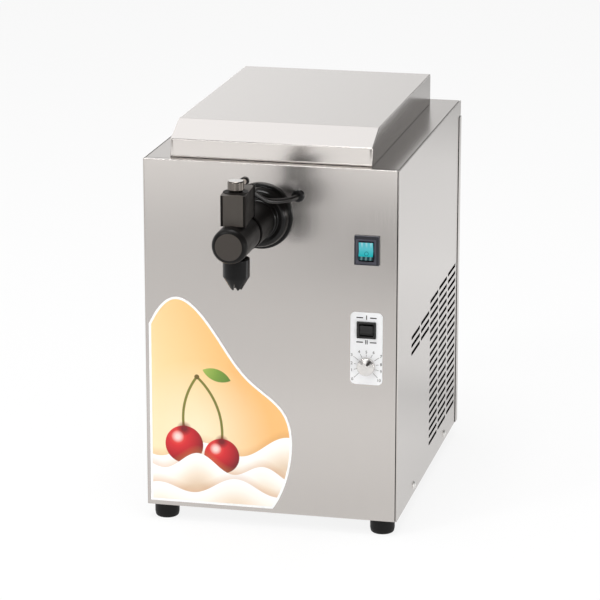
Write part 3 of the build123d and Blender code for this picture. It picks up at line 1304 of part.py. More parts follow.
def make_fan_frame():
    """Square fan frame against the condenser, with struts and the pin of the rotor."""
    half = FAN_SIZE / 2
    frame = slab(FAN_LEFT, CONDENSER_LEFT, FAN_Y - half, FAN_Y + half, FAN_Z - half, FAN_Z + half)
    frame -= rod_x(FAN_OPENING, FAN_LEFT - 1, CONDENSER_LEFT + 1, FAN_Y, FAN_Z)
    strut_end = FAN_LEFT + FAN_STRUT_DEPTH
    frame += rod_x(FAN_HUB_RADIUS, FAN_LEFT, strut_end, FAN_Y, FAN_Z)
    reach = FAN_OPENING + 2
    width = FAN_STRUT_WIDTH / 2
    for index in range(FAN_STRUTS):
        strut = slab(FAN_LEFT, strut_end, 0, reach, -width, width)
        frame += Pos(0, FAN_Y, FAN_Z) * Rot(45 + index * 360 / FAN_STRUTS, 0, 0) * strut
    return frame + rod_x(FAN_PIN_RADIUS, FAN_LEFT, ROTOR_RIGHT - FAN_RUN_GAP, FAN_Y, FAN_Z)


def make_fan_rotor():
    """Hub and pitched blades, turning on the frame's pin."""
    rotor = rod_x(FAN_HUB_RADIUS, ROTOR_LEFT, ROTOR_RIGHT, 0, 0)
    middle = (ROTOR_LEFT + ROTOR_RIGHT) / 2
    tip = FAN_OPENING - FAN_TIP_GAP
    root = FAN_HUB_RADIUS - 2
    blade = Pos(middle, 0, (root + tip) / 2) * Rot(0, 0, FAN_BLADE_PITCH)
    blade = blade * Box(FAN_BLADE_CHORD, FAN_BLADE_THICKNESS, tip - root)
    for index in range(FAN_BLADES):
        rotor += Rot(index * 360 / FAN_BLADES, 0, 0) * blade
    rotor = rotor & rod_x(tip, ROTOR_LEFT, ROTOR_RIGHT, 0, 0)
    rotor -= rod_x(FAN_PIN_RADIUS + SHAFT_FIT, ROTOR_LEFT - 1, ROTOR_RIGHT + 1, 0, 0)
    return Pos(0, FAN_Y, FAN_Z) * rotor


def make_filter_drier():
    """Copper drier capsule in the liquid line."""
    left = DRIER_RIGHT_X - DRIER_LENGTH
    return rod_x(DRIER_RADIUS, left, DRIER_RIGHT_X, DRIER_Y, DRIER_Z)


def make_refrigerant_lines():
    """Discharge, liquid, capillary and suction lines, each ending on a port face."""
    levels = condenser_tube_levels()
    discharge = [
        (discharge_end(), COMPRESSOR_Y + PORT_OFFSET, PORT_Z),
        (LINE_SIDE_X, COMPRESSOR_Y + PORT_OFFSET, PORT_Z),
        (LINE_SIDE_X, DRIER_Y, PORT_Z),
        (LINE_SIDE_X, DRIER_Y, levels[-1]),
        (CONDENSER_X, DRIER_Y, levels[-1]),
        (CONDENSER_X, CONDENSER_FRONT, levels[-1]),
    ]
    liquid = [
        (CONDENSER_X, CONDENSER_FRONT, levels[0]),
        (CONDENSER_X, DRIER_Y, levels[0]),
        (DRIER_RIGHT_X + 4 * LINE_BEND, DRIER_Y, levels[0]),
        (DRIER_RIGHT_X + 2 * LINE_BEND, DRIER_Y, DRIER_Z),
        (DRIER_RIGHT_X, DRIER_Y, DRIER_Z),
    ]
    capillary = [
        (DRIER_RIGHT_X - DRIER_LENGTH, DRIER_Y, DRIER_Z),
        (CAPILLARY_X, DRIER_Y, DRIER_Z),
        (CAPILLARY_X, COIL_END_Y, DRIER_Z),
        (CAPILLARY_X, COIL_END_Y, COIL_END_Z - 2.5 * LINE_BEND),
        (COIL_X, COIL_END_Y, COIL_END_Z - 2.5 * LINE_BEND),
        (COIL_X, COIL_END_Y, COIL_END_Z),
    ]
    suction = [
        (COIL_X, COIL_END_Y - COIL_END_PITCH, COIL_END_Z),
        (COIL_X, COIL_END_Y - COIL_END_PITCH, PORT_Z),
        (COIL_X, suction_end(), PORT_Z),
    ]
    lines = [tube_along(points, LINE_RADIUS, LINE_BEND) for points in (discharge, liquid, suction)]
    lines.append(tube_along(capillary, CAPILLARY_RADIUS, LINE_BEND))
    return Compound(children=lines)


def rocker_room(half, valley, horn, tilt):
    """Half height that a rocker needs in its housing."""
    reach = hypot(half, valley + horn)
    swing = min(90.0, degrees(atan2(half, valley + horn)) + tilt)
    return reach * sin(radians(swing)) + ROCKER_ROOM


def make_rocker(width, half, valley, horn, pivot_depth, rise, rest_tilt):
    """Rocker with a hollowed front and two pivot pins, turned to its rest tilt."""
    hub = ROCKER_HUB_RADIUS
    front = [(-valley, 0), (-valley - horn, half), (-valley + horn / 2, half), (0, hub)]
    rear = [(0, -hub), (-valley + horn / 2, -half), (-valley - horn, -half)]
    rocker = prism_x(make_face(Polyline(*front, *rear, close=True)), -width / 2, width / 2)
    rocker += rod_x(hub, -width / 2, width / 2, 0, 0)
    pin_end = width / 2 + ROCKER_PIN_LENGTH
    rocker += rod_x(ROCKER_PIN_RADIUS, -pin_end, pin_end, 0, 0)
    return Pos(CONTROL_X, FRONT_Y + pivot_depth, FLOOR_Z + rise) * Rot(rest_tilt, 0, 0) * rocker


def make_switch_housing(bezel, body, room, rocker_width, pivot_depth, rise):
    """Switch housing: bezel on the panel, body behind it, and a cavity with pin holes for the rocker."""
    bezel_width, bezel_height, bezel_depth = bezel
    body_width, body_height, body_depth = body
    seat = FRONT_Y - LABEL_THICKNESS if rise == MODE_RISE else FRONT_Y
    place = Pos(CONTROL_X, FLOOR_Z + rise)
    plate = RectangleRounded(bezel_width, bezel_height, BEZEL_ROUND)
    housing = prism_y(place * plate, seat - bezel_depth, seat)
    housing += prism_y(place * Rectangle(body_width, body_height), seat, PANEL_BACK + body_depth)
    window = Rectangle(rocker_width + 2 * ROCKER_ROOM, 2 * room)
    pivot = FRONT_Y + pivot_depth
    housing -= prism_y(place * window, seat - 2 * bezel_depth, pivot + ROCKER_CAVITY_DEPTH)
    pin = rocker_width / 2 + ROCKER_PIN_LENGTH + ROCKER_ROOM
    hole = ROCKER_PIN_RADIUS + SHAFT_FIT
    return housing - rod_x(hole, CONTROL_X - pin, CONTROL_X + pin, pivot, FLOOR_Z + rise)


def make_power_switch_housing():
    """Housing of the lit power switch."""
    room = rocker_room(POWER_ROCKER_HALF, POWER_ROCKER_VALLEY, POWER_ROCKER_HORN, POWER_ROCKER_TILT)
    bezel = (POWER_BEZEL_WIDTH, POWER_BEZEL_HEIGHT, POWER_BEZEL_DEPTH)
    body = (POWER_BODY_WIDTH, POWER_BODY_HEIGHT, POWER_BODY_DEPTH)
    return make_switch_housing(bezel, body, room, POWER_ROCKER_WIDTH, POWER_PIVOT_DEPTH, POWER_RISE)


def make_mode_switch_housing():
    """Housing of the small mode switch, seated on the label and reaching back to the board."""
    room = rocker_room(MODE_ROCKER_HALF, MODE_ROCKER_VALLEY, MODE_ROCKER_HORN, MODE_ROCKER_TILT)
    bezel = (MODE_BEZEL_WIDTH, MODE_BEZEL_HEIGHT, MODE_BEZEL_DEPTH)
    body = (MODE_BODY_WIDTH, MODE_BODY_HEIGHT, POT_DEPTH)
    return make_switch_housing(bezel, body, room, MODE_ROCKER_WIDTH, MODE_PIVOT_DEPTH, MODE_RISE)


def make_dial_potentiometer():
    """Potentiometer between panel and board, bored for the knob's shaft."""
    z = FLOOR_Z + KNOB_RISE
    pot = rod_y(POT_RADIUS, CONTROL_X, PANEL_BACK, BOARD_FRONT, z)
    pot += rod_y(POT_NECK_RADIUS, CONTROL_X, FRONT_Y - LABEL_THICKNESS - POT_NECK_LENGTH, PANEL_BACK, z)
    mouth = FRONT_Y - LABEL_THICKNESS - POT_NECK_LENGTH - 1
    return pot - rod_y(KNOB_SHAFT_RADIUS + SHAFT_FIT, CONTROL_X, mouth, BOARD_FRONT - SHEET, z)


def make_portion_knob():
    """Bright knob with a pointer groove, hollow over the potentiometer's neck, with its shaft."""
    foot = FRONT_Y - LABEL_THICKNESS - KNOB_GAP
    top = foot - KNOB_HEIGHT
    neck_room = POT_NECK_RADIUS + KNOB_GAP
    roof = FRONT_Y - LABEL_THICKNESS - POT_NECK_LENGTH - KNOB_GAP
    corners = [
        (0, roof, 0),
        (neck_room, roof, 0),
        (neck_room, foot, 0),
        (KNOB_RADIUS, foot, 0),
        (KNOB_TOP_RADIUS, top, KNOB_ROUND),
        (0, top, 0),
    ]
    z = FLOOR_Z + KNOB_RISE
    knob = Pos(CONTROL_X, 0, z) * revolve(rounded_face(corners), Axis.Y)
    half = KNOB_GROOVE / 2
    groove = slab(CONTROL_X - half, CONTROL_X + half, top - 1, top + KNOB_GROOVE, z + half, z + KNOB_RADIUS)
    knob -= groove.rotate(Axis((CONTROL_X, 0, z), (0, 1, 0)), KNOB_POINTER)
    return knob + rod_y(KNOB_SHAFT_RADIUS, CONTROL_X, roof, BOARD_FRONT - SHEET - KNOB_GAP, z)


def make_control_label():
    """Thin white label round the mode switch and the knob."""
    plan = Pos(CONTROL_X, FLOOR_Z + LABEL_RISE) * RectangleRounded(LABEL_WIDTH, LABEL_HEIGHT, LABEL_CORNER)
    cut_width = MODE_BODY_WIDTH + 2 * LABEL_CUT_CLEARANCE
    cut_height = MODE_BODY_HEIGHT + 2 * LABEL_CUT_CLEARANCE
    plan -= Pos(CONTROL_X, FLOOR_Z + MODE_RISE) * Rectangle(cut_width, cut_height)
    plan -= Pos(CONTROL_X, FLOOR_Z + KNOB_RISE) * Circle(POT_NECK_RADIUS + LABEL_CUT_CLEARANCE)
    return prism_y(plan, FRONT_Y - LABEL_THICKNESS, FRONT_Y)


def make_control_board():
    """Circuit board on the backs of the mode switch and the potentiometer, with a terminal block."""
    z = FLOOR_Z + BOARD_RISE
    plan = Pos(BOARD_X, z) * Rectangle(BOARD_WIDTH, BOARD_HEIGHT)
    board = prism_y(plan, BOARD_FRONT, BOARD_BACK)
    left = TERMINAL_X - TERMINAL_WIDTH / 2
    right = TERMINAL_X + TERMINAL_WIDTH / 2
    rear = BOARD_BACK + TERMINAL_DEPTH
    board += slab(left, right, BOARD_BACK, rear, TERMINAL_TOP - TERMINAL_HEIGHT, TERMINAL_TOP)
    return board + slab(left, right, BOARD_BACK, rear + RELAY_RISE, z - RELAY_HEIGHT, z)


def make_front_sticker():
    """Thin printed sticker with a rolling upper edge."""
    left = -PANEL_HALF + STICKER_EDGE
    base = FLOOR_Z + STICKER_BASE
    left_top = (left, FLOOR_Z + STICKER_LEFT_RISE)
    wave = Spline(
        left_top,
        (STICKER_CREST_X, FLOOR_Z + STICKER_CREST_RISE),
        (STICKER_FALL_X, FLOOR_Z + STICKER_FALL_RISE),
        (STICKER_DIP_X, FLOOR_Z + STICKER_DIP_RISE),
        (STICKER_SWELL_X, FLOOR_Z + STICKER_SWELL_RISE),
        (STICKER_BULGE_X, FLOOR_Z + STICKER_BULGE_RISE),
        (STICKER_RIGHT_X, base),
    )
    edges = [wave, Line((STICKER_RIGHT_X, base), (left, base)), Line((left, base), left_top)]
    return prism_y(make_face(edges), FRONT_Y - STICKER_THICKNESS, FRONT_Y)


def make_mains_gland():
    """Cable gland on the rear cover, open for the mains lead."""
    z = FLOOR_Z + GLAND_RISE
    nut = RegularPolygon(GLAND_NUT_RADIUS, 6, major_radius=True)
    gland = rod_y(GLAND_RADIUS - FIT_SLACK, GLAND_X, BACK_Y - SHEET, BACK_Y, z)
    gland += rod_y(GLAND_RADIUS - FIT_SLACK, GLAND_X, BACK_Y, BACK_Y + GLAND_REACH, z)
    gland += prism_y(Pos(GLAND_X, z) * nut, BACK_Y, BACK_Y + GLAND_NUT_LENGTH)
    gland += prism_y(Pos(GLAND_X, z) * nut, BACK_Y - SHEET - GLAND_NUT_LENGTH, BACK_Y - SHEET)
    ends = (BACK_Y - SHEET - 2 * GLAND_NUT_LENGTH, BACK_Y + GLAND_REACH + 1)
    return gland - rod_y(GLAND_BORE, GLAND_X, *ends, z)


def make_power_rocker():
    """Power rocker, resting with its upper half pressed in."""
    sizes = (POWER_ROCKER_WIDTH, POWER_ROCKER_HALF, POWER_ROCKER_VALLEY, POWER_ROCKER_HORN)
    return make_rocker(*sizes, POWER_PIVOT_DEPTH, POWER_RISE, -POWER_ROCKER_TILT)


def make_mode_rocker():
    """Mode rocker, resting level."""
    sizes = (MODE_ROCKER_WIDTH, MODE_ROCKER_HALF, MODE_ROCKER_VALLEY, MODE_ROCKER_HORN)
    return make_rocker(*sizes, MODE_PIVOT_DEPTH, MODE_RISE, 0)


PIECES = {
    "front_panel": make_front_panel(),
    "left_side_panel": make_side_panel(-1, False),
    "right_side_panel": make_side_panel(1, True),
    "top_deck": make_top_deck(),
    "rear_cover": make_rear_cover(),
    "base_tray": make_base_tray(),
    "rubber_feet": make_rubber_feet(),
    "side_screws": make_side_screws(),
    "rear_cover_screws": make_rear_cover_screws(),
    "cream_well": make_cream_well(),
    "well_insulation": make_well_insulation(),
    "evaporator_coil": make_evaporator_coil(),
    "cream_container": make_cream_container(),
    "suction_pipe": make_suction_pipe(),
    "lid_shell": make_lid_shell(),
    "lid_liner": make_lid_liner(),
    "lid_gasket": make_lid_gasket(),
    "head_flange": make_head_flange(),
    "outlet_collar": make_outlet_collar(),
    "texture_insert": make_texture_insert(),
    "barrel_seal": make_barrel_seal(),
    "valve_body": make_valve_body(),
    "star_nozzle": make_star_nozzle(),
    "plunger_tube": make_plunger_tube(),
    "valve_plunger": make_valve_plunger(),
    "valve_spring": make_valve_spring(),
    "solenoid_coil": make_solenoid_coil(),
    "coil_nut": make_coil_nut(),
    "solenoid_lead": make_solenoid_lead(),
    "lead_grommet": make_lead_grommet(),
    "air_inlet_bush": make_air_inlet_bush(),
    "air_screw": make_air_screw(),
    "pump_body": make_pump_body(),
    "pump_rear_cover": make_pump_rear_cover(),
    "pump_screws": make_pump_screws(),
    "pump_drive_gear": make_pump_drive_gear(),
    "pump_idler_gear": make_pump_idler_gear(),
    "pump_pulley": make_pulley(PUMP_PULLEY_RADIUS, PUMP_SHAFT_RADIUS, DRIVE_X, PUMP_Z),
    "motor_pulley": make_pulley(MOTOR_PULLEY_RADIUS, MOTOR_SHAFT_RADIUS, DRIVE_X, MOTOR_Z),
    "drive_belt": make_drive_belt(),
    "drive_motor": make_drive_motor(),
    "motor_shaft": make_motor_shaft(),
    "motor_bracket": make_motor_bracket(),
    "compressor": make_compressor(),
    "compressor_mounts": make_compressor_mounts(),
    "condenser": make_condenser(),
    "fan_frame": make_fan_frame(),
    "fan_rotor": make_fan_rotor(),
    "filter_drier": make_filter_drier(),
    "refrigerant_lines": make_refrigerant_lines(),
    "power_switch_housing": make_power_switch_housing(),
    "power_rocker": make_power_rocker(),
    "mode_switch_housing": make_mode_switch_housing(),
    "mode_rocker": make_mode_rocker(),
    "dial_potentiometer": make_dial_potentiometer(),
    "portion_knob": make_portion_knob(),
    "control_label": make_control_label(),
    "control_board": make_control_board(),
    "front_sticker": make_front_sticker(),
    "mains_gland": make_mains_gland(),
}

os.makedirs("parts", exist_ok=True)
for node, shape in PIECES.items():
    export_step(shape, f"parts/{node}.step")
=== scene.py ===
"""Looks of a counter-top cream whipper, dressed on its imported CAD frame.

Places come from the frame, in metres. Sizes that the frame doesn't give are fields in millimetres.
"""

from __future__ import annotations

import json
import logging
import math
from dataclasses import dataclass, field, replace
from enum import Enum
from typing import Any, ClassVar, Iterable, Sequence

import bmesh
import bpy
from mathutils import Matrix, Vector

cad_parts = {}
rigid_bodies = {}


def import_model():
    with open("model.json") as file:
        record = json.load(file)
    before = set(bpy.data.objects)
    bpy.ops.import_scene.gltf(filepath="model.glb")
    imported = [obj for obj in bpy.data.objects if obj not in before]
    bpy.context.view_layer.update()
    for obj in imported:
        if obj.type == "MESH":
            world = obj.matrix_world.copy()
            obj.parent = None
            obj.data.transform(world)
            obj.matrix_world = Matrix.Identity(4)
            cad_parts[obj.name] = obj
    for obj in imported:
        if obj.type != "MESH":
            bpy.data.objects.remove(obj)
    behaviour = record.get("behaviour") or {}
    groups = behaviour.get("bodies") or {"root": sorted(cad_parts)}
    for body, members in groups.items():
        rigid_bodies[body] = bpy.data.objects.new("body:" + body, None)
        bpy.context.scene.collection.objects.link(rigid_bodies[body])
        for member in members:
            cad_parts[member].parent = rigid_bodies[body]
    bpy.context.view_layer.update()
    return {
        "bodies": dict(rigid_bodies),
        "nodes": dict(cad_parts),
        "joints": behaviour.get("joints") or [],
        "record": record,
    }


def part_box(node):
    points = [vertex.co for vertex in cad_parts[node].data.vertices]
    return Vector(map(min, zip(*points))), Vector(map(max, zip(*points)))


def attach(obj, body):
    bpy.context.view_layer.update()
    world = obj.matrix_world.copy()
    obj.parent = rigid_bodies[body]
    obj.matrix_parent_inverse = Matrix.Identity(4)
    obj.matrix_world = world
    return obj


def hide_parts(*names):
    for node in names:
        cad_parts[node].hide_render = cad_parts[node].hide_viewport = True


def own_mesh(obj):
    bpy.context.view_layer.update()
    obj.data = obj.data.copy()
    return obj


MM = 0.001
# Corners nearer than this in metres are one corner
MERGE = 1e-6
# Decimals of a metre to which two places are told apart
PLACES = 5
RIGHT = Vector((1, 0, 0))
AHEAD = Vector((0, -1, 0))
UP = Vector((0, 0, 1))
log = logging.getLogger("whipper")

Colour = tuple[float, float, float, float]
Corner = tuple[float, float, float]
Pair = tuple[float, float]
Outline = tuple[Corner, ...]
Tree = bpy.types.NodeTree
Socket = bpy.types.NodeSocket
Mesh = bmesh.types.BMesh
Face = bmesh.types.BMFace
Edge = bmesh.types.BMEdge


# Colours and nodes

WHITE = "#FFFFFF"
# Sockets and settings of a Mix node for colours
FIRST, SECOND = 6, 7
MIX: dict[str, Any] = {"out": 2, "data_type": "RGBA"}
# Settings that turn a direction of the object into one of the world
TO_WORLD = {"vector_type": "VECTOR", "convert_from": "OBJECT", "convert_to": "WORLD"}


def linear(code: str) -> Colour:
    """Turns an sRGB colour into linear light, by the sRGB curve.

    Args:
        code: The colour as "#RRGGBB".

    Returns:
        Red, green, blue and an alpha of 1.
    """
    shares = [int(code[start : start + 2], 16) / 255 for start in (1, 3, 5)]
    red, green, blue = (s / 12.92 if s <= 0.04045 else ((s + 0.055) / 1.055) ** 2.4 for s in shares)
    return red, green, blue, 1.0


def feed(node: bpy.types.Node, inputs: dict[Any, Any]) -> None:
    """Sets or links inputs of a node.

    Args:
        node: The node.
        inputs: A value or a socket for each input, by name or number.
    """
    for key, value in inputs.items():
        if isinstance(value, Socket):
            node.id_data.links.new(value, node.inputs[key])
        else:
            node.inputs[key].default_value = value


def add_node(
    tree: Tree,
    kind: str,
    inputs: dict[Any, Any] | Sequence[Any] = (),
    out: int | str = 0,
    **settings: Any,
) -> Socket:
    """Adds a node with its settings and links.

    Args:
        tree: The tree that takes the node.
        kind: The node's type, without the ShaderNode that every type starts with.
        inputs: A value or a socket for each input, in order or else by name or number.
        out: The output that is wanted, by name or number.
        settings: Properties of the node itself.

    Returns:
        The wanted output, which knows its node.
    """
    node = tree.nodes.new("ShaderNode" + kind)
    for name, value in settings.items():
        setattr(node, name, value)
    feed(node, inputs if isinstance(inputs, dict) else dict(enumerate(inputs)))
    return node.outputs[out]


def rings(tree: Tree, axis: Corner, centre: Corner, width: float) -> Socket:
    """Gives tool marks as rings round an axis and along it.

    Args:
        tree: The material's tree.
        axis: Direction of the axis.
        centre: A point on it in metres.
        width: Width of a ring in mm.

    Returns:
        A value from 0 to 1.
    """
    where = add_node(tree, "TexCoord", out="Object")
    arm = add_node(tree, "VectorMath", (where, centre), operation="SUBTRACT")
    along = add_node(tree, "VectorMath", (arm, axis), "Value", operation="DOT_PRODUCT")
    reach = add_node(tree, "VectorMath", (arm,), "Value", operation="LENGTH")
    place = add_node(tree, "CombineXYZ", (along, reach))
    return add_node(tree, "TexNoise", {"Vector": place, "Scale": 1 / (width * MM), "Detail": 1.0}, "Fac")


# Finishes


class Grain(Enum):
    """Direction of the brushing on a sheet, turned a little so that no face lies square to it."""

    UPRIGHT = (0.0, 0.2, 1.0)
    DEPTH = (0.0, 1.0, 0.2)


@dataclass(frozen=True)
class Finish:
    """A surface with one colour and one gloss.

    Attributes:
        name: What the material is.
        colour: Its sRGB colour.
        roughness: Principled roughness.
        metallic: 1 for bare metal.
    """

    name: str
    colour: str
    roughness: float = 0.5
    metallic: float = 0.0

    def build(self) -> bpy.types.Material:
        """Makes the material once.

        Returns:
            The material, shared by all pieces with this finish.
        """
        known = bpy.data.materials.get(self.name)
        if known:
            return known
        material = bpy.data.materials.new(self.name)
        material.use_nodes = True
        shader = material.node_tree.nodes["Principled BSDF"]
        plain = {"Base Color": linear(self.colour), "Roughness": self.roughness}
        feed(shader, {**plain, "Metallic": self.metallic})
        feed(shader, self.detail(material.node_tree))
        return material

    def detail(self, tree: Tree) -> dict[str, Any]:
        """Gives what lies over the plain colour, as inputs of the shader. A plain finish has nothing there."""
        return {}


@dataclass(frozen=True)
class Moulded(Finish):
    """Moulded plastic, rubber, paint or foam: an even skin with small unevenness.

    Attributes:
        skin: Size of the skin's texture in mm.
        depth: Height of that texture in mm.
        cloud: How far the gloss wanders over the piece.
        shine: Principled specular level.
        RELIEF: Strength of the skin's texture.
        DRIFT: Size in mm of the clouds in the gloss.
        CLOUDS: Where the clouds' pattern starts and ends.
    """

    skin: float = 0.6
    depth: float = 0.02
    cloud: float = 0.06
    shine: float = 0.5
    RELIEF: ClassVar[float] = 0.6
    DRIFT: ClassVar[float] = 25.0
    CLOUDS: ClassVar[Pair] = (0.3, 0.7)

    def texture(self, tree: Tree) -> Socket:
        """Gives the height of the skin, from 0 to 1."""
        where = {"Vector": add_node(tree, "TexCoord", out="Object"), "Scale": 1 / (self.skin * MM)}
        return add_node(tree, "TexNoise", {**where, "Detail": 2.0}, "Fac")

    def detail(self, tree: Tree) -> dict[str, Any]:
        """Gives a fine bump and a slow change of gloss.

        Args:
            tree: The material's tree.

        Returns:
            A value or a socket for each input of the shader.
        """
        bump = {"Height": self.texture(tree), "Strength": self.RELIEF, "Distance": self.depth * MM}
        where = {"Vector": add_node(tree, "TexCoord", out="Object"), "Scale": 1 / (self.DRIFT * MM)}
        slow = add_node(tree, "TexNoise", {**where, "Detail": 3.0}, "Fac")
        ends = (self.roughness - self.cloud, self.roughness + self.cloud)
        return {
            "Specular IOR Level": self.shine,
            "Normal": add_node(tree, "Bump", bump),
            "Roughness": add_node(tree, "MapRange", (slow, *self.CLOUDS, *ends)),
        }


@dataclass(frozen=True)
class TurnedPlastic(Moulded):
    """Plastic turned on a lathe, with fine rings of the tool.

    Attributes:
        axis: Direction of the lathe's axis.
        centre: A point on the axis in metres.
    """

    skin: float = 1.1
    depth: float = 0.006
    axis: Corner = (0.0, 1.0, 0.0)
    centre: Corner = (0.0, 0.0, 0.0)

    def texture(self, tree: Tree) -> Socket:
        """Gives the rings."""
        return rings(tree, self.axis, self.centre, self.skin)


@dataclass(frozen=True)
class Brushed(Finish):
    """Brushed metal, whose reflections are drawn out across the grain.

    Attributes:
        grain: Direction of the brushing.
        stretch: How far reflections are drawn out.
        streak: How far the tone changes between the brush lines.
        line: Width of a brush line in mm. Real lines are finer than a pixel, so these are drawn coarser.
        run: Length of a brush line in mm.
        lean: How far the sheet leans from its drawn face, as no sheet is quite flat.
        LINES: Where the pattern of the brush lines starts and ends.
    """

    metallic: float = 1.0
    grain: Grain = Grain.UPRIGHT
    stretch: float = 0.75
    streak: float = 0.025
    line: float = 0.35
    run: float = 60.0
    lean: Corner = (0.0, 0.0, 0.0)
    LINES: ClassVar[Pair] = (0.25, 0.75)

    def grooves(self, tree: Tree) -> Socket:
        """Gives the direction of the brush lines in the world."""
        return add_node(tree, "VectorTransform", (self.grain.value,), **TO_WORLD)

    def lines(self, tree: Tree) -> Socket:
        """Gives the pattern of the brush lines.

        Args:
            tree: The material's tree.

        Returns:
            A value from 0 to 1.
        """
        scale = [1 / ((self.run if part == 1 else self.line) * MM) for part in self.grain.value]
        where = add_node(tree, "TexCoord", out="Object")
        place = add_node(tree, "VectorMath", (where, scale), operation="MULTIPLY")
        return add_node(tree, "TexNoise", {"Vector": place, "Scale": 1.0, "Detail": 2.0}, "Fac")

    def tint(self, tree: Tree, lines: Socket) -> Socket:
        """Gives the colour with its brush lines.

        Args:
            tree: The material's tree.
            lines: The pattern of the lines.

        Returns:
            The colour's socket.
        """
        tone = add_node(tree, "MapRange", (lines, *self.LINES, 1 - self.streak, 1 + self.streak))
        inputs = {0: linear(self.colour)[:3], "Scale": tone}
        return add_node(tree, "VectorMath", inputs, operation="SCALE")

    def detail(self, tree: Tree) -> dict[str, Any]:
        """Gives the brush lines and the direction of the reflections.

        Args:
            tree: The material's tree.

        Returns:
            A value or a socket for each input of the shader.
        """
        inputs: dict[str, Any] = {"Anisotropic": self.stretch}
        normal = add_node(tree, "NewGeometry", out="Normal")
        if any(self.lean):
            lean = add_node(tree, "VectorTransform", (self.lean,), **TO_WORLD)
            leant = add_node(tree, "VectorMath", (normal, lean), operation="ADD")
            normal = add_node(tree, "VectorMath", (leant,), operation="NORMALIZE")
            inputs["Normal"] = normal
        across = add_node(tree, "VectorMath", (self.grooves(tree), normal), operation="CROSS_PRODUCT")
        inputs["Tangent"] = add_node(tree, "VectorMath", (across,), operation="NORMALIZE")
        lines = self.lines(tree)
        inputs["Base Color"] = self.tint(tree, lines)
        ends = (self.roughness - self.streak, self.roughness + self.streak)
        inputs["Roughness"] = add_node(tree, "MapRange", (lines, *self.LINES, *ends))
        return inputs


@dataclass(frozen=True)
class Sheet(Brushed):
    """A brushed panel with painted shade below its outer skin: near black where its seams and slots look into
    an unlit cabinet.

    Attributes:
        skins: Axis number, side and place in metres of each outer face.
        SKIN: Depths in mm at which the painted shade starts and is full.
        UNLIT: Colour of the painted shade.
    """

    skins: tuple[tuple[int, int, float], ...] = ()
    SKIN: ClassVar[Pair] = (0.26, 0.32)
    UNLIT: ClassVar[str] = "#12100F"

    def tint(self, tree: Tree, lines: Socket) -> Socket:
        """Gives the brushed colour on the skin and a near black painted shade below it.

        Args:
            tree: The material's tree.
            lines: The pattern of the lines.

        Returns:
            The colour's socket.
        """
        where = add_node(tree, "TexCoord", out="Object")
        parts = add_node(tree, "SeparateXYZ", (where,)).node.outputs
        depth: float | Socket = 1.0
        for axis, side, place in self.skins:
            under = add_node(tree, "Math", (parts[axis], -side, side * place), operation="MULTIPLY_ADD")
            depth = add_node(tree, "Math", (depth, under), operation="MINIMUM")
        start, full = (limit * MM for limit in self.SKIN)
        dark = add_node(tree, "MapRange", (depth, start, full, 0, 1))
        skin = super().tint(tree, lines)
        return add_node(tree, "Mix", {0: dark, FIRST: skin, SECOND: linear(self.UNLIT)}, **MIX)


@dataclass(frozen=True)
class Spun(Brushed):
    """Turned metal, whose tool marks run round an axis.

    Attributes:
        axis: Direction of the axis.
        centre: A point on the axis in metres.
    """

    axis: Corner = (0.0, 0.0, 1.0)
    centre: Corner = (0.0, 0.0, 0.0)
    line: float = 0.25

    def grooves(self, tree: Tree) -> Socket:
        """Gives the direction round the axis in the world.

        Args:
            tree: The material's tree.

        Returns:
            The direction's socket.
        """
        where = add_node(tree, "TexCoord", out="Object")
        arm = add_node(tree, "VectorMath", (where, self.centre), operation="SUBTRACT")
        around = add_node(tree, "VectorMath", (self.axis, arm), operation="CROSS_PRODUCT")
        return add_node(tree, "VectorTransform", (around,), **TO_WORLD)

    def lines(self, tree: Tree) -> Socket:
        """Gives tool marks as rings."""
        return rings(tree, self.axis, self.centre, self.line)


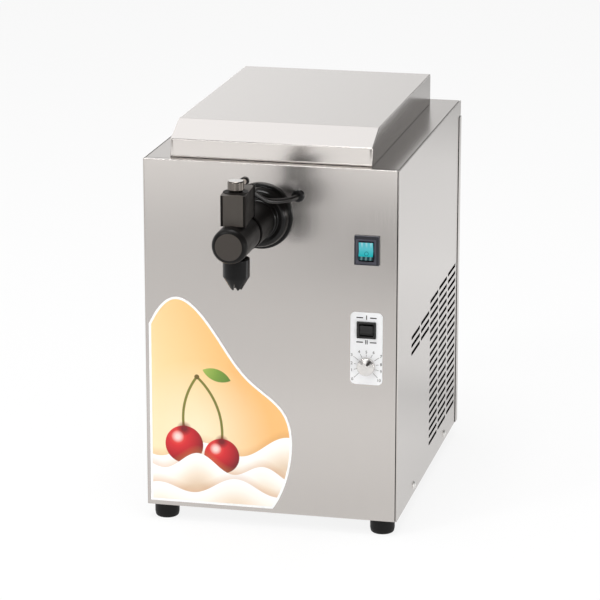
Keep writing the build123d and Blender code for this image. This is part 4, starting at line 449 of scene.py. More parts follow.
@dataclass(frozen=True)
class Lit(Finish):
    """Clear coloured plastic with a lamp behind it, which glows a little; the lamp's light is also painted in:
    a lighter upper part and pale streaks over the ribs above are painted light, and the dark foot with dim
    streaks below is painted shade.

    Heights are shares of the rocker's height.

    Attributes:
        upper: Its sRGB colour in the upper part, lighter as painted light of the lamp.
        upper_run: Heights at which the painted light of the upper colour starts and is full.
        pale: Colour of the painted light on the ribs in the upper part, and how much of it shows.
        pale_run: Heights at which the painted light on the ribs starts and is full.
        foot: Colours of the painted shade at the foot, between its ribs and on them.
        foot_shares: How much of the foot's painted shade and of its ribs shows.
        foot_run: Heights at which the foot's painted shade starts to fade and has gone.
        glow: Strength of the lamp.
        shine: Principled specular level.
        low: Lowest and leftmost corner of the rocker in metres.
        high: Highest and rightmost corner of the rocker in metres.
        rib: Distance between ribs in mm.
        valley: Where a rib ends, as the cosine of its wave.
        mark: Radius and line width of the round mark in mm.
        mark_edge: Where its line starts to fade and ends, from the line's middle, as shares of its width.
        mark_height: Height of the mark.
        ink: Colour of the mark, and how much of it shows.
    """

    upper: str = "#55B4BD"
    upper_run: Pair = (0.2, 0.55)
    pale: tuple[str, float] = ("#C9D3DA", 0.4)
    pale_run: Pair = (0.6, 0.82)
    foot: tuple[str, str] = ("#12262C", "#8FB9BC")
    foot_shares: Pair = (0.95, 0.35)
    foot_run: Pair = (0.14, 0.17)
    glow: float = 0.05
    shine: float = 0.12
    low: Corner = (0.0, 0.0, 0.0)
    high: Corner = (1.0, 1.0, 1.0)
    rib: float = 4.6
    valley: float = -0.2
    mark: Pair = (1.9, 0.55)
    mark_edge: Pair = (0.4, 0.6)
    mark_height: float = 0.3
    ink: tuple[str, float] = ("#0B4A55", 0.85)

    def ring(self, tree: Tree, side: Socket, height: Socket) -> Socket:
        """Gives the mask of the round mark.

        Args:
            tree: The material's tree.
            side: Distance from the rocker's middle in metres.
            height: Height in metres.

        Returns:
            The mask's socket.
        """
        radius, width = (size * MM for size in self.mark)
        start, end = (share * width for share in self.mark_edge)
        middle = self.low[2] + self.mark_height * (self.high[2] - self.low[2])
        rise = add_node(tree, "Math", (height, middle), operation="SUBTRACT")
        arm = add_node(tree, "CombineXYZ", (side, rise))
        far = add_node(tree, "VectorMath", (arm,), "Value", operation="LENGTH")
        beyond = add_node(tree, "Math", (far, radius), operation="SUBTRACT")
        off = add_node(tree, "Math", (beyond,), operation="ABSOLUTE")
        return add_node(tree, "MapRange", (off, start, end, self.ink[1], 0))

    def detail(self, tree: Tree) -> dict[str, Any]:
        """Gives the glow, the ribs and the mark.

        Args:
            tree: The material's tree.

        Returns:
            A value or a socket for each input of the shader.
        """
        where = add_node(tree, "TexCoord", out="Object")
        across, _, up = add_node(tree, "SeparateXYZ", (where,)).node.outputs
        height = add_node(tree, "MapRange", (up, self.low[2], self.high[2], 0, 1))
        side = add_node(tree, "Math", (across, (self.low[0] + self.high[0]) / 2), operation="SUBTRACT")
        turns = add_node(tree, "Math", (side, math.tau / (self.rib * MM)), operation="MULTIPLY")
        wave = add_node(tree, "Math", (turns,), operation="COSINE")
        rib = add_node(tree, "MapRange", (wave, self.valley, 1, 0, 1))
        upper = add_node(tree, "MapRange", (height, *self.upper_run, 0, 1))
        above = add_node(tree, "MapRange", (height, *self.pale_run, 0, self.pale[1]))
        pale = add_node(tree, "Math", (rib, above), operation="MULTIPLY")
        dark, dim = (linear(code) for code in self.foot)
        streak = add_node(tree, "Math", (rib, self.foot_shares[1]), operation="MULTIPLY")
        streaked = add_node(tree, "Mix", {0: streak, FIRST: dark, SECOND: dim}, **MIX)
        below = add_node(tree, "MapRange", (height, *self.foot_run, self.foot_shares[0], 0))
        # Painted light over the upper part and its ribs, painted shade at the foot, then the printed mark
        layers = (
            (upper, linear(self.upper)),
            (pale, linear(self.pale[0])),
            (below, streaked),
            (self.ring(tree, side, up), linear(self.ink[0])),
        )
        tint: Any = linear(self.colour)
        for share, paint in layers:
            tint = add_node(tree, "Mix", {0: share, FIRST: tint, SECOND: paint}, **MIX)
        lamp = {"Emission Color": tint, "Emission Strength": self.glow}
        return {"Base Color": tint, "Specular IOR Level": self.shine, **lamp}


class Canvas:
    """A flat drawing made of nodes: colours laid over each other by masks, in mm of the frame.

    Attributes:
        EDGE: Width of a soft edge.
        WAVES: Length, height and start of the two waves of a rolling edge, as multiples of what is asked for.
    """

    EDGE: ClassVar[float] = 0.5
    WAVES: ClassVar[Outline] = ((1.0, 1.0, 1.0), (2.7, 0.7, 2.0))

    def __init__(self, tree: Tree) -> None:
        """Takes the drawing's coordinates.

        Args:
            tree: The material's tree.
        """
        self.tree = tree
        where = {0: add_node(tree, "TexCoord", out="Object"), "Scale": 1 / MM}
        place = add_node(tree, "VectorMath", where, operation="SCALE")
        self.x, _, self.z = add_node(tree, "SeparateXYZ", (place,)).node.outputs
        self.place = add_node(tree, "CombineXYZ", (self.x, self.z))
        self.paint: Any = linear(WHITE)

    def lay(self, mask: float | Socket, paint: Any) -> None:
        """Lays a colour over the drawing where a mask shows it."""
        inputs = {0: mask, FIRST: self.paint, SECOND: paint}
        self.paint = add_node(self.tree, "Mix", inputs, **MIX)

    def fade(self, value: Socket, source: Sequence[float], *codes: str) -> Socket:
        """Runs through colours as a value grows.

        Args:
            value: The value.
            source: Where the run starts and ends.
            codes: Two or more sRGB colours.

        Returns:
            The colour's socket.
        """
        paint: Any = linear(codes[0])
        step = (source[1] - source[0]) / (len(codes) - 1)
        for index, code in enumerate(codes[1:]):
            start = source[0] + index * step
            share = add_node(self.tree, "MapRange", (value, start, start + step, 0, 1))
            paint = add_node(self.tree, "Mix", {0: share, FIRST: paint, SECOND: linear(code)}, **MIX)
        return paint

    def far(self, centre: Sequence[float]) -> Socket:
        """Gives the distance from a point, given as x and z."""
        return add_node(self.tree, "VectorMath", (self.place, (*centre, 0)), "Value", operation="DISTANCE")

    def disc(self, centre: Sequence[float], radius: float, soft: float = EDGE) -> Socket:
        """Gives the mask of a round spot with a soft edge."""
        return add_node(self.tree, "MapRange", (self.far(centre), radius, radius + soft, 1, 0))

    def stem(self, start: Sequence[float], end: Sequence[float], bow: float, width: float) -> Socket:
        """Gives the mask of a line bent to an arc, from a lower point to a higher one.

        Args:
            start: The lower point.
            end: The higher point.
            bow: How far the arc's middle stands off the straight line, to its right if positive.
            width: Its width.

        Returns:
            The mask's socket.
        """
        low, high = Vector(start), Vector(end)
        run = high - low
        radius = (run.length_squared / 4 + bow * bow) / (2 * abs(bow))
        aside = Vector((run.y, -run.x)).normalized() * math.copysign(1, bow)
        centre = (low + high) / 2 + aside * (abs(bow) - radius)
        beyond = add_node(self.tree, "Math", (self.far(centre), radius), operation="SUBTRACT")
        off = add_node(self.tree, "Math", (beyond,), operation="ABSOLUTE")
        mask = add_node(self.tree, "MapRange", (off, width / 2, width / 2 + self.EDGE, 1, 0))
        for operation, limit in (("GREATER_THAN", low.y), ("LESS_THAN", high.y)):
            inside = add_node(self.tree, "Math", (self.z, limit), operation=operation)
            mask = add_node(self.tree, "Math", (mask, inside), operation="MULTIPLY")
        return mask

    def depth(self, level: float, swing: float, length: float, start: float) -> Socket:
        """Gives the depth below a rolling edge.

        Args:
            level: Mean height of the edge.
            swing: Height of its waves.
            length: Length of a wave.
            start: Where the first wave starts, as an angle.

        Returns:
            The depth's socket, negative above the edge.
        """
        edge: float | Socket = level
        for longer, higher, later in self.WAVES:
            turns = (self.x, math.tau / (longer * length), later * start)
            angle = add_node(self.tree, "Math", turns, operation="MULTIPLY_ADD")
            wave = add_node(self.tree, "Math", (angle,), operation="SINE")
            edge = add_node(self.tree, "Math", (wave, higher * swing, edge), operation="MULTIPLY_ADD")
        return add_node(self.tree, "Math", (edge, self.z), operation="SUBTRACT")


@dataclass(frozen=True)
class Artwork(Finish):
    """Printed field of the sticker: cherries among folds of cream on a pale orange ground, in mm.

    Attributes:
        ground: How far the ground's run of colour leans, and where it starts and ends.
        haze: Middle, radius, soft edge and share of a pale haze behind the cherries.
        cherries: Middle and radius of each cherry, and how far its stem bends.
        stalk: Width of the stems.
        knot: Where the stems meet.
        knot_size: Radius of the knot.
        leaf: Middles of the two discs whose overlap is the leaf, then where its colour starts.
        leaf_size: Radius of these discs, and the length of the colour's run.
        back_fold: Mean height, height and length of the waves, and the start of the fold behind the cherries.
        front_folds: The same for the folds in front of them.
        shade: Depth and strength of the shade that a fold casts.
        cream: Depth of a fold's run of colour, and half the width of its edge.
        FOOT: Height over a cherry's middle at which its stem starts, as a share of its radius.
        LIGHT: Place of its highlight, across and up, and the length of its run of colour, in the same way.
        DIMPLE: Height, radius and soft edge of the dimple at its stem, in the same way.
        SPOT: Radius and soft edge of the highlight, in the same way, and how much of it shows.
    """

    ground: Corner = (0.35, -110.0, 20.0)
    haze: tuple[float, ...] = (-78.0, 96.0, 10.0, 70.0, 0.7)
    cherries: tuple[tuple[float, float, float, float], ...] = (
        (-92.0, 84.0, 20.0, -6.0),
        (-52.0, 74.0, 18.5, 9.0),
    )
    stalk: float = 2.2
    knot: Pair = (-78.0, 158.0)
    knot_size: float = 2.4
    leaf: tuple[Pair, Pair, Pair] = ((-62.0, 146.0), (-52.0, 176.0), (-74.0, 168.0))
    leaf_size: Pair = (22.0, 36.0)
    back_fold: tuple[float, float, float, float] = (84.0, 9.0, 92.0, 0.4)
    front_folds: tuple[tuple[float, float, float, float], ...] = (
        (62.0, 8.0, 70.0, 2.2),
        (38.0, 7.0, 84.0, 4.4),
    )
    shade: Pair = (9.0, 0.35)
    cream: Pair = (34.0, 0.3)
    FOOT: ClassVar[float] = 0.8
    LIGHT: ClassVar[Corner] = (-0.35, 0.4, 1.5)
    DIMPLE: ClassVar[Corner] = (0.86, 0.12, 0.3)
    SPOT: ClassVar[Corner] = (0.1, 0.25, 0.85)

    def fold(self, canvas: Canvas, level: float, swing: float, length: float, start: float) -> None:
        """Lays one fold of cream over the drawing.

        Args:
            canvas: The drawing.
            level: Mean height of the fold's edge.
            swing: Height of its waves.
            length: Length of a wave.
            start: Where the first wave starts, as an angle.
        """
        tree = canvas.tree
        depth = canvas.depth(level, swing, length, start)
        shade = add_node(tree, "MapRange", (depth, -self.shade[0], 0, 0, self.shade[1]))
        above = add_node(tree, "Math", (depth, 0.0), operation="LESS_THAN")
        canvas.lay(add_node(tree, "Math", (shade, above), operation="MULTIPLY"), linear("#C98A4B"))
        run, edge = self.cream
        cream = canvas.fade(depth, (0, run), WHITE, "#FFFAF1", "#F6E6D2", "#E6CDB2")
        canvas.lay(add_node(tree, "MapRange", (depth, -edge, edge, 0, 1)), cream)

    def cherry(self, canvas: Canvas, x: float, z: float, radius: float) -> None:
        """Lays one cherry over the drawing: its skin, the dimple of its stem and its highlight.

        Args:
            canvas: The drawing.
            x: Middle across.
            z: Middle height.
            radius: Its radius.
        """
        across, up, run = (share * radius for share in self.LIGHT)
        light = (x + across, z + up)
        skin = canvas.fade(canvas.far(light), (0, run), "#F2604F", "#D8232A", "#B30F1C", "#6F0A14")
        canvas.lay(canvas.disc((x, z), radius), skin)
        height, size, soft = (share * radius for share in self.DIMPLE)
        canvas.lay(canvas.disc((x, z + height), size, soft), linear("#7A0C15"))
        size, soft, share = self.SPOT
        spot = canvas.disc(light, size * radius, soft * radius)
        canvas.lay(add_node(canvas.tree, "Math", (spot, share), operation="MULTIPLY"), linear("#FFE9E2"))

    def detail(self, tree: Tree) -> dict[str, Any]:
        """Draws the field from its back to its front.

        Args:
            tree: The material's tree.

        Returns:
            The colour's socket, as an input of the shader.
        """
        canvas = Canvas(tree)
        lean, start, end = self.ground
        slant = add_node(tree, "Math", (canvas.z, lean, canvas.x), operation="MULTIPLY_ADD")
        canvas.lay(1.0, canvas.fade(slant, (start, end), "#FEE6B6", "#FDD79C", "#FAC17A"))
        x, z, radius, soft, share = self.haze
        haze = canvas.disc((x, z), radius, soft)
        canvas.lay(add_node(tree, "Math", (haze, share), operation="MULTIPLY"), linear("#FFF1D2"))
        self.fold(canvas, *self.back_fold)
        for x, z, radius, bow in self.cherries:
            stem = canvas.stem((x, z + self.FOOT * radius), self.knot, bow, self.stalk)
            canvas.lay(stem, linear("#7C7A2C"))
        canvas.lay(canvas.disc(self.knot, self.knot_size), linear("#6B5A24"))
        lower, upper, tip = self.leaf
        size, run = self.leaf_size
        discs = (canvas.disc(lower, size), canvas.disc(upper, size))
        green = canvas.fade(canvas.far(tip), (0, run), "#A9BF5A", "#7C9E3C", "#557A2B")
        canvas.lay(add_node(tree, "Math", discs, operation="MULTIPLY"), green)
        for x, z, radius, _ in self.cherries:
            self.cherry(canvas, x, z, radius)
        for fold in self.front_folds:
            self.fold(canvas, *fold)
        return {"Base Color": canvas.paint}


# What each material gives the eye is said beside it

# Satin sheet with fine upright lines, its reflections blurred sideways
SHEET_STEEL = Sheet("brushed steel sheet", "#CAC5C1", 0.18)
# The same sheet in the left seam
SEAM_STEEL = Brushed("brushed steel of the left seam", "#CAC5C1", 0.2)
# The same sheet with lines that run from front to back
LID_STEEL = Brushed("brushed steel of the lid", "#CAC5C1", 0.16, grain=Grain.DEPTH, lean=(-0.05, 0.0, 0.0))
# Duller sheet under the machine
TRAY_STEEL = Brushed("plain steel sheet of the tray", "#A3A2A0", 0.42, streak=0.03)
# Deep-drawn tub with a softer shine
TUB_STEEL = Brushed("satin steel of the well", "#E6E3E0", 0.5, run=20.0)
# Smooth screw heads
SCREW_STEEL = Finish("bright steel of the screws", "#EDEBE8", 0.42, 1.0)
# Grey-tan end of the air screw, darker than the screw heads
AIR_STEEL = Finish("grey steel of the air screw", "#B8AEA5", 0.4, 1.0)
# Ground shafts and springs, with a clear shine
SHAFT_STEEL = Finish("ground steel of shafts", "#C4C3C1", 0.28, 1.0)
# Machined pump housing, pale and satin
PUMP_ALLOY = Finish("machined alloy of the pump", "#CFCFD0", 0.38, 1.0)
# Fins painted near black as painted shade, so that they stay dark behind the slots
FIN_ALLOY = Finish("fin alloy painted near black as shade", "#1B1A19", 0.6)
# Red-brown tube with a clear shine
COPPER = Finish("copper tube", "#C98A68", 0.3, 1.0)
# Dull metal of the potentiometer
DIAL_ALLOY = Finish("plain alloy of the potentiometer", "#B9B9B9", 0.45, 1.0)
# Black turned plastic with broad soft highlights
HEAD_PLASTIC = Moulded("satin black plastic", "#080706", 0.21, depth=0.003, cloud=0.03, shine=0.26)
# The same plastic with less gloss
COLLAR_PLASTIC = replace(
    HEAD_PLASTIC, name="dull black plastic of the collar", colour="#0B0908", roughness=0.42, shine=0.1
)
# Dry black moulding, and its greyer front and top: partly wear, partly painted light, as the sides are left
# darker
COIL_PLASTIC = Moulded("matt black moulding of the coil", "#1B1816", 0.5, skin=1.6, depth=0.08, shine=0.1)
COIL_FRONT = Moulded("worn front of the coil", "#48433E", 0.5, skin=1.6, depth=0.12, cloud=0.12, shine=0.3)
# Deep black nozzle with sharper highlights
NOZZLE_PLASTIC = Moulded("black plastic of the nozzle", "#060505", 0.18, depth=0.003, cloud=0.03, shine=0.22)
# Smooth black sleeve of the lead
LEAD_SLEEVE = Moulded("black sleeve of the lead", "#060505", 0.18, depth=0.0, cloud=0.03, shine=0.5)
# Dry black rubber with a faint bloom
RUBBER = Moulded("black rubber", "#0D0C0B", 0.5, skin=1.2, depth=0.04, shine=0.25)
# Dark grey nylon gland with a dull skin
GLAND_PLASTIC = Moulded("black nylon of the gland", "#1F1F1F", 0.45)
# Dull dark mouldings of the fan
FAN_PLASTIC = Moulded("black plastic of the fan", "#1B1B1B", 0.5)
# White inner plastics, smooth and satin
LINER_PLASTIC = Moulded("white plastic of the liner", "#EEEDE9", 0.42, depth=0.01)
INSERT_PLASTIC = Moulded("natural plastic of the insert", "#EEEDE9", 0.42, depth=0.01)
# Dark rubber foam with open pores, so that the slots look black
FOAM = Moulded("dark rubber foam", "#161514", 0.9, skin=3.0, depth=0.5, shine=0.1)
# Stoved paints with a slight orange peel, one satin and one glossy
MOTOR_PAINT = Moulded("satin grey paint of the motor", "#595A5C", 0.4, skin=2.0, depth=0.02)
COMPRESSOR_PAINT = Moulded("gloss black paint of the compressor", "#1E1E1E", 0.2, skin=2.0, depth=0.02)
# Flat green circuit board
BOARD = Moulded("green board", "#3C8059", 0.4, depth=0.0)
# Blue-black gloss round the lit rocker
BEZEL_PLASTIC = Moulded("blue-black plastic of the power switch", "#151621", 0.24, depth=0.0, cloud=0.03)
# Its slopes, painted lighter as a painted highlight
BEZEL_SLOPE_HIGHLIGHT = Moulded("lighter slopes of the power switch", "#41414D", 0.3, depth=0.0, cloud=0.03)
# Clean gloss black
SWITCH_PLASTIC = Moulded("gloss black plastic of the mode switch", "#0B0908", 0.24, depth=0.0, cloud=0.02)
# White film with a faint sheen
LABEL_FILM = Moulded("white film of the label", "#F0F0F1", 0.38, depth=0.0)
# Dark and grey ink, both flat; the dark one also colours the knob's pointer bar as painted shade
DARK_INK_AND_POINTER_SHADE = Finish("dark ink of the label", "#2A2623", 0.5)
SCALE_INK = Finish("grey ink of the scale", "#6C6763", 0.5)
# White edge and printed field of the sticker, both with the sheen of film
STICKER_FILM = Moulded("white film of the sticker", "#FDFDFC", 0.3, depth=0.0)
STICKER_ART = Artwork("printed field of the sticker", "#FAC582", 0.3)

SLOT_FINISHES: dict[str, Finish] = {
    "steel_sheet": SHEET_STEEL,
    "tray_steel": TRAY_STEEL,
    "well_steel": TUB_STEEL,
    "screw_steel": SCREW_STEEL,
    "shaft_steel": SHAFT_STEEL,
    "knob_metal": SCREW_STEEL,
    "black_rubber": RUBBER,
    "head_plastic": HEAD_PLASTIC,
    "coil_plastic": COIL_PLASTIC,
    "insert_plastic": INSERT_PLASTIC,
    "foam": FOAM,
    "liner_plastic": LINER_PLASTIC,
    "copper": COPPER,
    "pump_metal": PUMP_ALLOY,
    "motor_paint": MOTOR_PAINT,
    "compressor_paint": COMPRESSOR_PAINT,
    "condenser_metal": FIN_ALLOY,
    "fan_plastic": FAN_PLASTIC,
    "switch_bezel": BEZEL_PLASTIC,
    "switch_lit": BEZEL_PLASTIC,
    "switch_black": SWITCH_PLASTIC,
    "dial_metal": DIAL_ALLOY,
    "board_green": BOARD,
    "label_white": LABEL_FILM,
    "sticker_print": STICKER_FILM,
    "gland_black": GLAND_PLASTIC,
}


# Shapes


class Side(Enum):
    """A side of a box, as the number of its axis and its sign."""

    LEFT = (0, -1)
    RIGHT = (0, 1)
    FRONT = (1, -1)
    REAR = (1, 1)
    TOP = (2, 1)


@dataclass(frozen=True)
class Extent:
    """Box round a piece.

    Attributes:
        low: Its lowest corner.
        high: Its highest corner.
    """

    low: Vector
    high: Vector

    @classmethod
    def of(cls, node: str) -> Extent:
        """Measures a CAD node."""
        low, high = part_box(node)
        return cls(Vector(low), Vector(high))

    @classmethod
    def around(cls, points: Sequence[Vector]) -> Extent:
        """Measures some points."""
        ends = ([pick(point[axis] for point in points) for axis in range(3)] for pick in (min, max))
        return cls(*(Vector(end) for end in ends))

    @property
    def middle(self) -> Vector:
        """Middle of the box."""
        return (self.low + self.high) / 2

    @property
    def size(self) -> Vector:
        """Size of the box."""
        return self.high - self.low


def block(extent: Extent) -> Mesh:
    """Makes a plain block.

    Args:
        extent: The space that it fills.

    Returns:
        The block.
    """
    bm = bmesh.new()
    place = Matrix.Translation(extent.middle) @ Matrix.Diagonal((*extent.size, 1))
    bmesh.ops.create_cube(bm, size=1.0, matrix=place)
    return bm


def put(name: str, bm: Mesh) -> bpy.types.Object:
    """Puts a mesh in the scene.

    Args:
        name: Its name.
        bm: The mesh, which is used up.

    Returns:
        The new object.
    """
    mesh = bpy.data.meshes.new(name)
    bm.to_mesh(mesh)
    bm.free()
    piece = bpy.data.objects.new(name, mesh)
    bpy.context.scene.collection.objects.link(piece)
    return piece


def gather(merged: Mesh, bm: Mesh, material: int = 0) -> None:
    """Adds one mesh to another.

    Args:
        merged: The mesh that grows.
        bm: The mesh that is used up.
        material: Material number of its faces.
    """
    for face in bm.faces:
        face.material_index = material
    mesh = bpy.data.meshes.new("part")
    bm.to_mesh(mesh)
    bm.free()
    merged.from_mesh(mesh)
    bpy.data.meshes.remove(mesh)


def islands(bm: Mesh) -> list[Extent]:
    """Measures the loose parts of a mesh.

    Args:
        bm: The mesh.

    Returns:
        The box of each part.
    """
    left = set(bm.verts)
    boxes = []
    while left:
        part, edge = set(), {left.pop()}
        while edge:
            part |= edge
            edge = {link.other_vert(vert) for vert in edge for link in vert.link_edges} - part
        left -= part
        boxes.append(Extent.around([vert.co for vert in part]))
    return boxes


def looking(bm: Mesh, way: Vector, limit: float = 0.9) -> list[Face]:
    """Finds the faces that look some way.

    Args:
        bm: The mesh.
        way: The direction.
        limit: Cosine of the angle up to which a face looks that way.

    Returns:
        The faces.
    """
    return [face for face in bm.faces if face.normal.dot(way) > limit]


def largest(bm: Mesh, way: Vector) -> Face:
    """Finds the largest face that looks some way.

    Args:
        bm: The mesh.
        way: The direction.

    Returns:
        The face.
    """
    return max(looking(bm, way), key=lambda face: face.calc_area())


def sharp_edges(bm: Mesh, angle: float = 30.0) -> list[Edge]:
    """Finds the outward edges of a mesh.

    Args:
        bm: The mesh.
        angle: The least angle between an edge's faces, in degrees.

    Returns:
        The edges.
    """
    limit = math.radians(angle)
    return [edge for edge in bm.edges if edge.is_convex and edge.calc_face_angle(0.0) > limit]


def round_edges(bm: Mesh, edges: Iterable[Edge], width: float, segments: int = 3) -> None:
    """Rounds some edges.

    Args:
        bm: The mesh.
        edges: The edges.
        width: Radius in mm.
        segments: Steps of the round.
    """
    bmesh.ops.bevel(
        bm,
        geom=list(edges),
        offset=width * MM,
        offset_type="OFFSET",
        segments=segments,
        profile=0.5,
        affect="EDGES",
        material=-1,
        clamp_overlap=True,
    )


def groove(bm: Mesh, face: Face, place: Vector, across: Vector, size: Sequence[float]) -> None:
    """Cuts a straight groove into a face, whose walls lean in by a small share of its width.

    Args:
        bm: The mesh.
        face: The face.
        place: A point on the groove's middle.
        across: Direction across the groove.
        size: Width and depth in mm.
    """
    lean = 0.05
    width, depth = (measure * MM for measure in size)
    faces = [face]
    for side in (-1, 1):
        line = place + across * side * width / 2
        parts = {part for each in faces for part in (each, *each.edges, *each.verts)}
        cut = bmesh.ops.bisect_plane(bm, geom=list(parts), plane_co=line, plane_no=across)
        faces = list({part for part in cut["geom"] if isinstance(part, Face)})
    strip = min(faces, key=lambda each: abs((each.calc_center_median() - place).dot(across)))
    bmesh.ops.inset_region(bm, faces=[strip], thickness=lean * width, depth=-depth)


def facing(way: Vector, point: Vector) -> Matrix:
    """Turns the upright axis another way and moves it.

    Args:
        way: The direction that it gets.
        point: Where its foot goes.

    Returns:
        The placing matrix.
    """
    return Matrix.Translation(point) @ UP.rotation_difference(way).to_matrix().to_4x4()


def turned(corners: Sequence[Corner], place: Matrix, steps: int = 96, segments: int = 6) -> Mesh:
    """Spins an outline round the upright axis, rounds its edges and puts it in place.

    Args:
        corners: Radius, height and round of each corner in mm, in order round the outline.
        place: Where the axis and its foot go.
        steps: Steps round the axis.
        segments: Steps of a round.

    Returns:
        The turned piece.
    """
    bm = bmesh.new()
    dots = [bm.verts.new((radius * MM, 0.0, height * MM)) for radius, height, _ in corners]
    pairs = [pair for pair in zip(dots, dots[1:] + dots[:1]) if pair[0].co.x > 0 or pair[1].co.x > 0]
    outline = [bm.edges.new(pair) for pair in pairs]
    spin = {"cent": (0, 0, 0), "axis": UP, "angle": math.tau, "steps": steps, "use_merge": True}
    bmesh.ops.spin(bm, geom=dots + outline, **spin)
    bmesh.ops.remove_doubles(bm, verts=bm.verts, dist=MERGE)
    bmesh.ops.recalc_face_normals(bm, faces=bm.faces)
    for radius, height, width in corners:
        if width > 0:
            spot = Vector((radius, height)) * MM
            ring = {v for v in bm.verts if (Vector((v.co.xy.length, v.co.z)) - spot).length < 10 * MERGE}
            round_edges(bm, [edge for edge in bm.edges if ring.issuperset(edge.verts)], width, segments)
    bmesh.ops.transform(bm, matrix=place, verts=bm.verts)
    return bm


def wound(space: Extent, wire: float, turns: int, steps: int = 24, sides: int = 10) -> Mesh:
    """Winds an upright spring.

    Args:
        space: The room that it fills.
        wire: Radius of the wire.
        turns: How many turns it has.
        steps: Steps of a turn.
        sides: Sides of the wire.

    Returns:
        The spring.
    """
    bm = bmesh.new()
    start = Vector((space.high.x - wire, space.middle.y, space.low.z + wire))
    bmesh.ops.create_circle(bm, cap_ends=True, segments=sides, radius=wire, matrix=facing(-AHEAD, start))
    bmesh.ops.spin(
        bm,
        geom=[*bm.verts, *bm.edges, *bm.faces],
        cent=space.middle,
        axis=UP,
        dvec=UP * (space.size.z - 2 * wire) / (steps * turns),
        angle=math.tau * turns,
        steps=steps * turns,
    )
    bmesh.ops.recalc_face_normals(bm, faces=bm.faces)
    return bm


def lettering(text: str, height: float, weight: float, place: Vector) -> Mesh:
    """Sets flat figures that look forward.

    Args:
        text: The figures.
        height: Size of the type in mm.
        weight: How much the type is thickened, in mm.
        place: Middle of the text.

    Returns:
        The figures as a mesh.
    """
    curve = bpy.data.curves.new("figures", "FONT")
    curve.body = text
    curve.size = height * MM
    curve.offset = weight * MM
    curve.align_x = "CENTER"
    curve.align_y = "CENTER"
    holder = bpy.data.objects.new("figures", curve)
    bpy.context.scene.collection.objects.link(holder)
    shown = holder.evaluated_get(bpy.context.evaluated_depsgraph_get())
    mesh = bpy.data.meshes.new_from_object(shown)
    bm = bmesh.new()
    bm.from_mesh(mesh)
    bpy.data.objects.remove(holder)
    bpy.data.curves.remove(curve)
    bpy.data.meshes.remove(mesh)
    upright = Matrix.Translation(place) @ Matrix.Rotation(math.pi / 2, 4, "X")
    bmesh.ops.transform(bm, matrix=upright, verts=bm.verts)
    return bm


# Sub-assemblies


@dataclass
class SubAssembly:
    """Pieces that are built together and then dressed.

    Attributes:
        body: The CAD body that carries the pieces.
        pieces: The pieces by name.
        dressed: CAD nodes that stay shown and have their finish.
        SMOOTH: Angle up to which an edge is shaded smooth.
        FLAT: Angle up to which triangles of a CAD node lie in one face.
    """

    frame: dict[str, Any]
    body: str = "cabinet"
    pieces: dict[str, bpy.types.Object] = field(default_factory=dict, init=False)
    dressed: ClassVar[set[str]] = set()
    SMOOTH: ClassVar[float] = math.radians(32)
    FLAT: ClassVar[float] = math.radians(0.5)

    def copy_of(self, node: str) -> Mesh:
        """Copies a CAD node, with its triangles joined into whole faces.

        Args:
            node: The node's name.

        Returns:
            The copy.
        """
        bm = bmesh.new()
        bm.from_mesh(self.frame["nodes"][node].data)
        bmesh.ops.remove_doubles(bm, verts=bm.verts, dist=MERGE)
        bmesh.ops.dissolve_limit(bm, angle_limit=self.FLAT, verts=bm.verts, edges=bm.edges)
        bmesh.ops.recalc_face_normals(bm, faces=bm.faces)
        return bm

    def add(self, name: str, bm: Mesh, slot: str, node: str = "", body: str = "") -> None:
        """Makes a piece of a mesh.

        Args:
            name: The piece's name.
            bm: Its mesh, which is used up.
            slot: The record's slot for its finish; not used.
            node: The CAD node that it stands for, if any.
            body: The CAD body that carries it, if not the usual one.
        """
        piece = put(name, bm)
        piece.data.shade_smooth()
        piece.data.set_sharp_from_angle(angle=self.SMOOTH)
        piece.modifiers.new("flat faces stay flat", "WEIGHTED_NORMAL").keep_sharp = True
        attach(piece, body or self.body)
        if node:
            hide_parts(node)
        self.pieces[name] = piece
        log.info("built %s with %d faces", name, len(piece.data.polygons))

    def coat(self, name: str, *finishes: Finish) -> None:
        """Gives a piece one finish for each of its material numbers."""
        for finish in finishes:
            self.pieces[name].data.materials.append(finish.build())

    def coat_node(self, node: str, finish: Finish) -> None:
        """Gives a CAD node that stays shown its finish.

        Args:
            node: The node's name.
            finish: Its finish.
        """
        materials = self.frame["nodes"][node].data.materials
        materials.clear()
        materials.append(finish.build())
        self.dressed.add(node)

    def build(self) -> None:
        """Makes the pieces."""
        raise NotImplementedError

    def dress(self) -> None:
        """Gives the pieces their finishes."""
        raise NotImplementedError


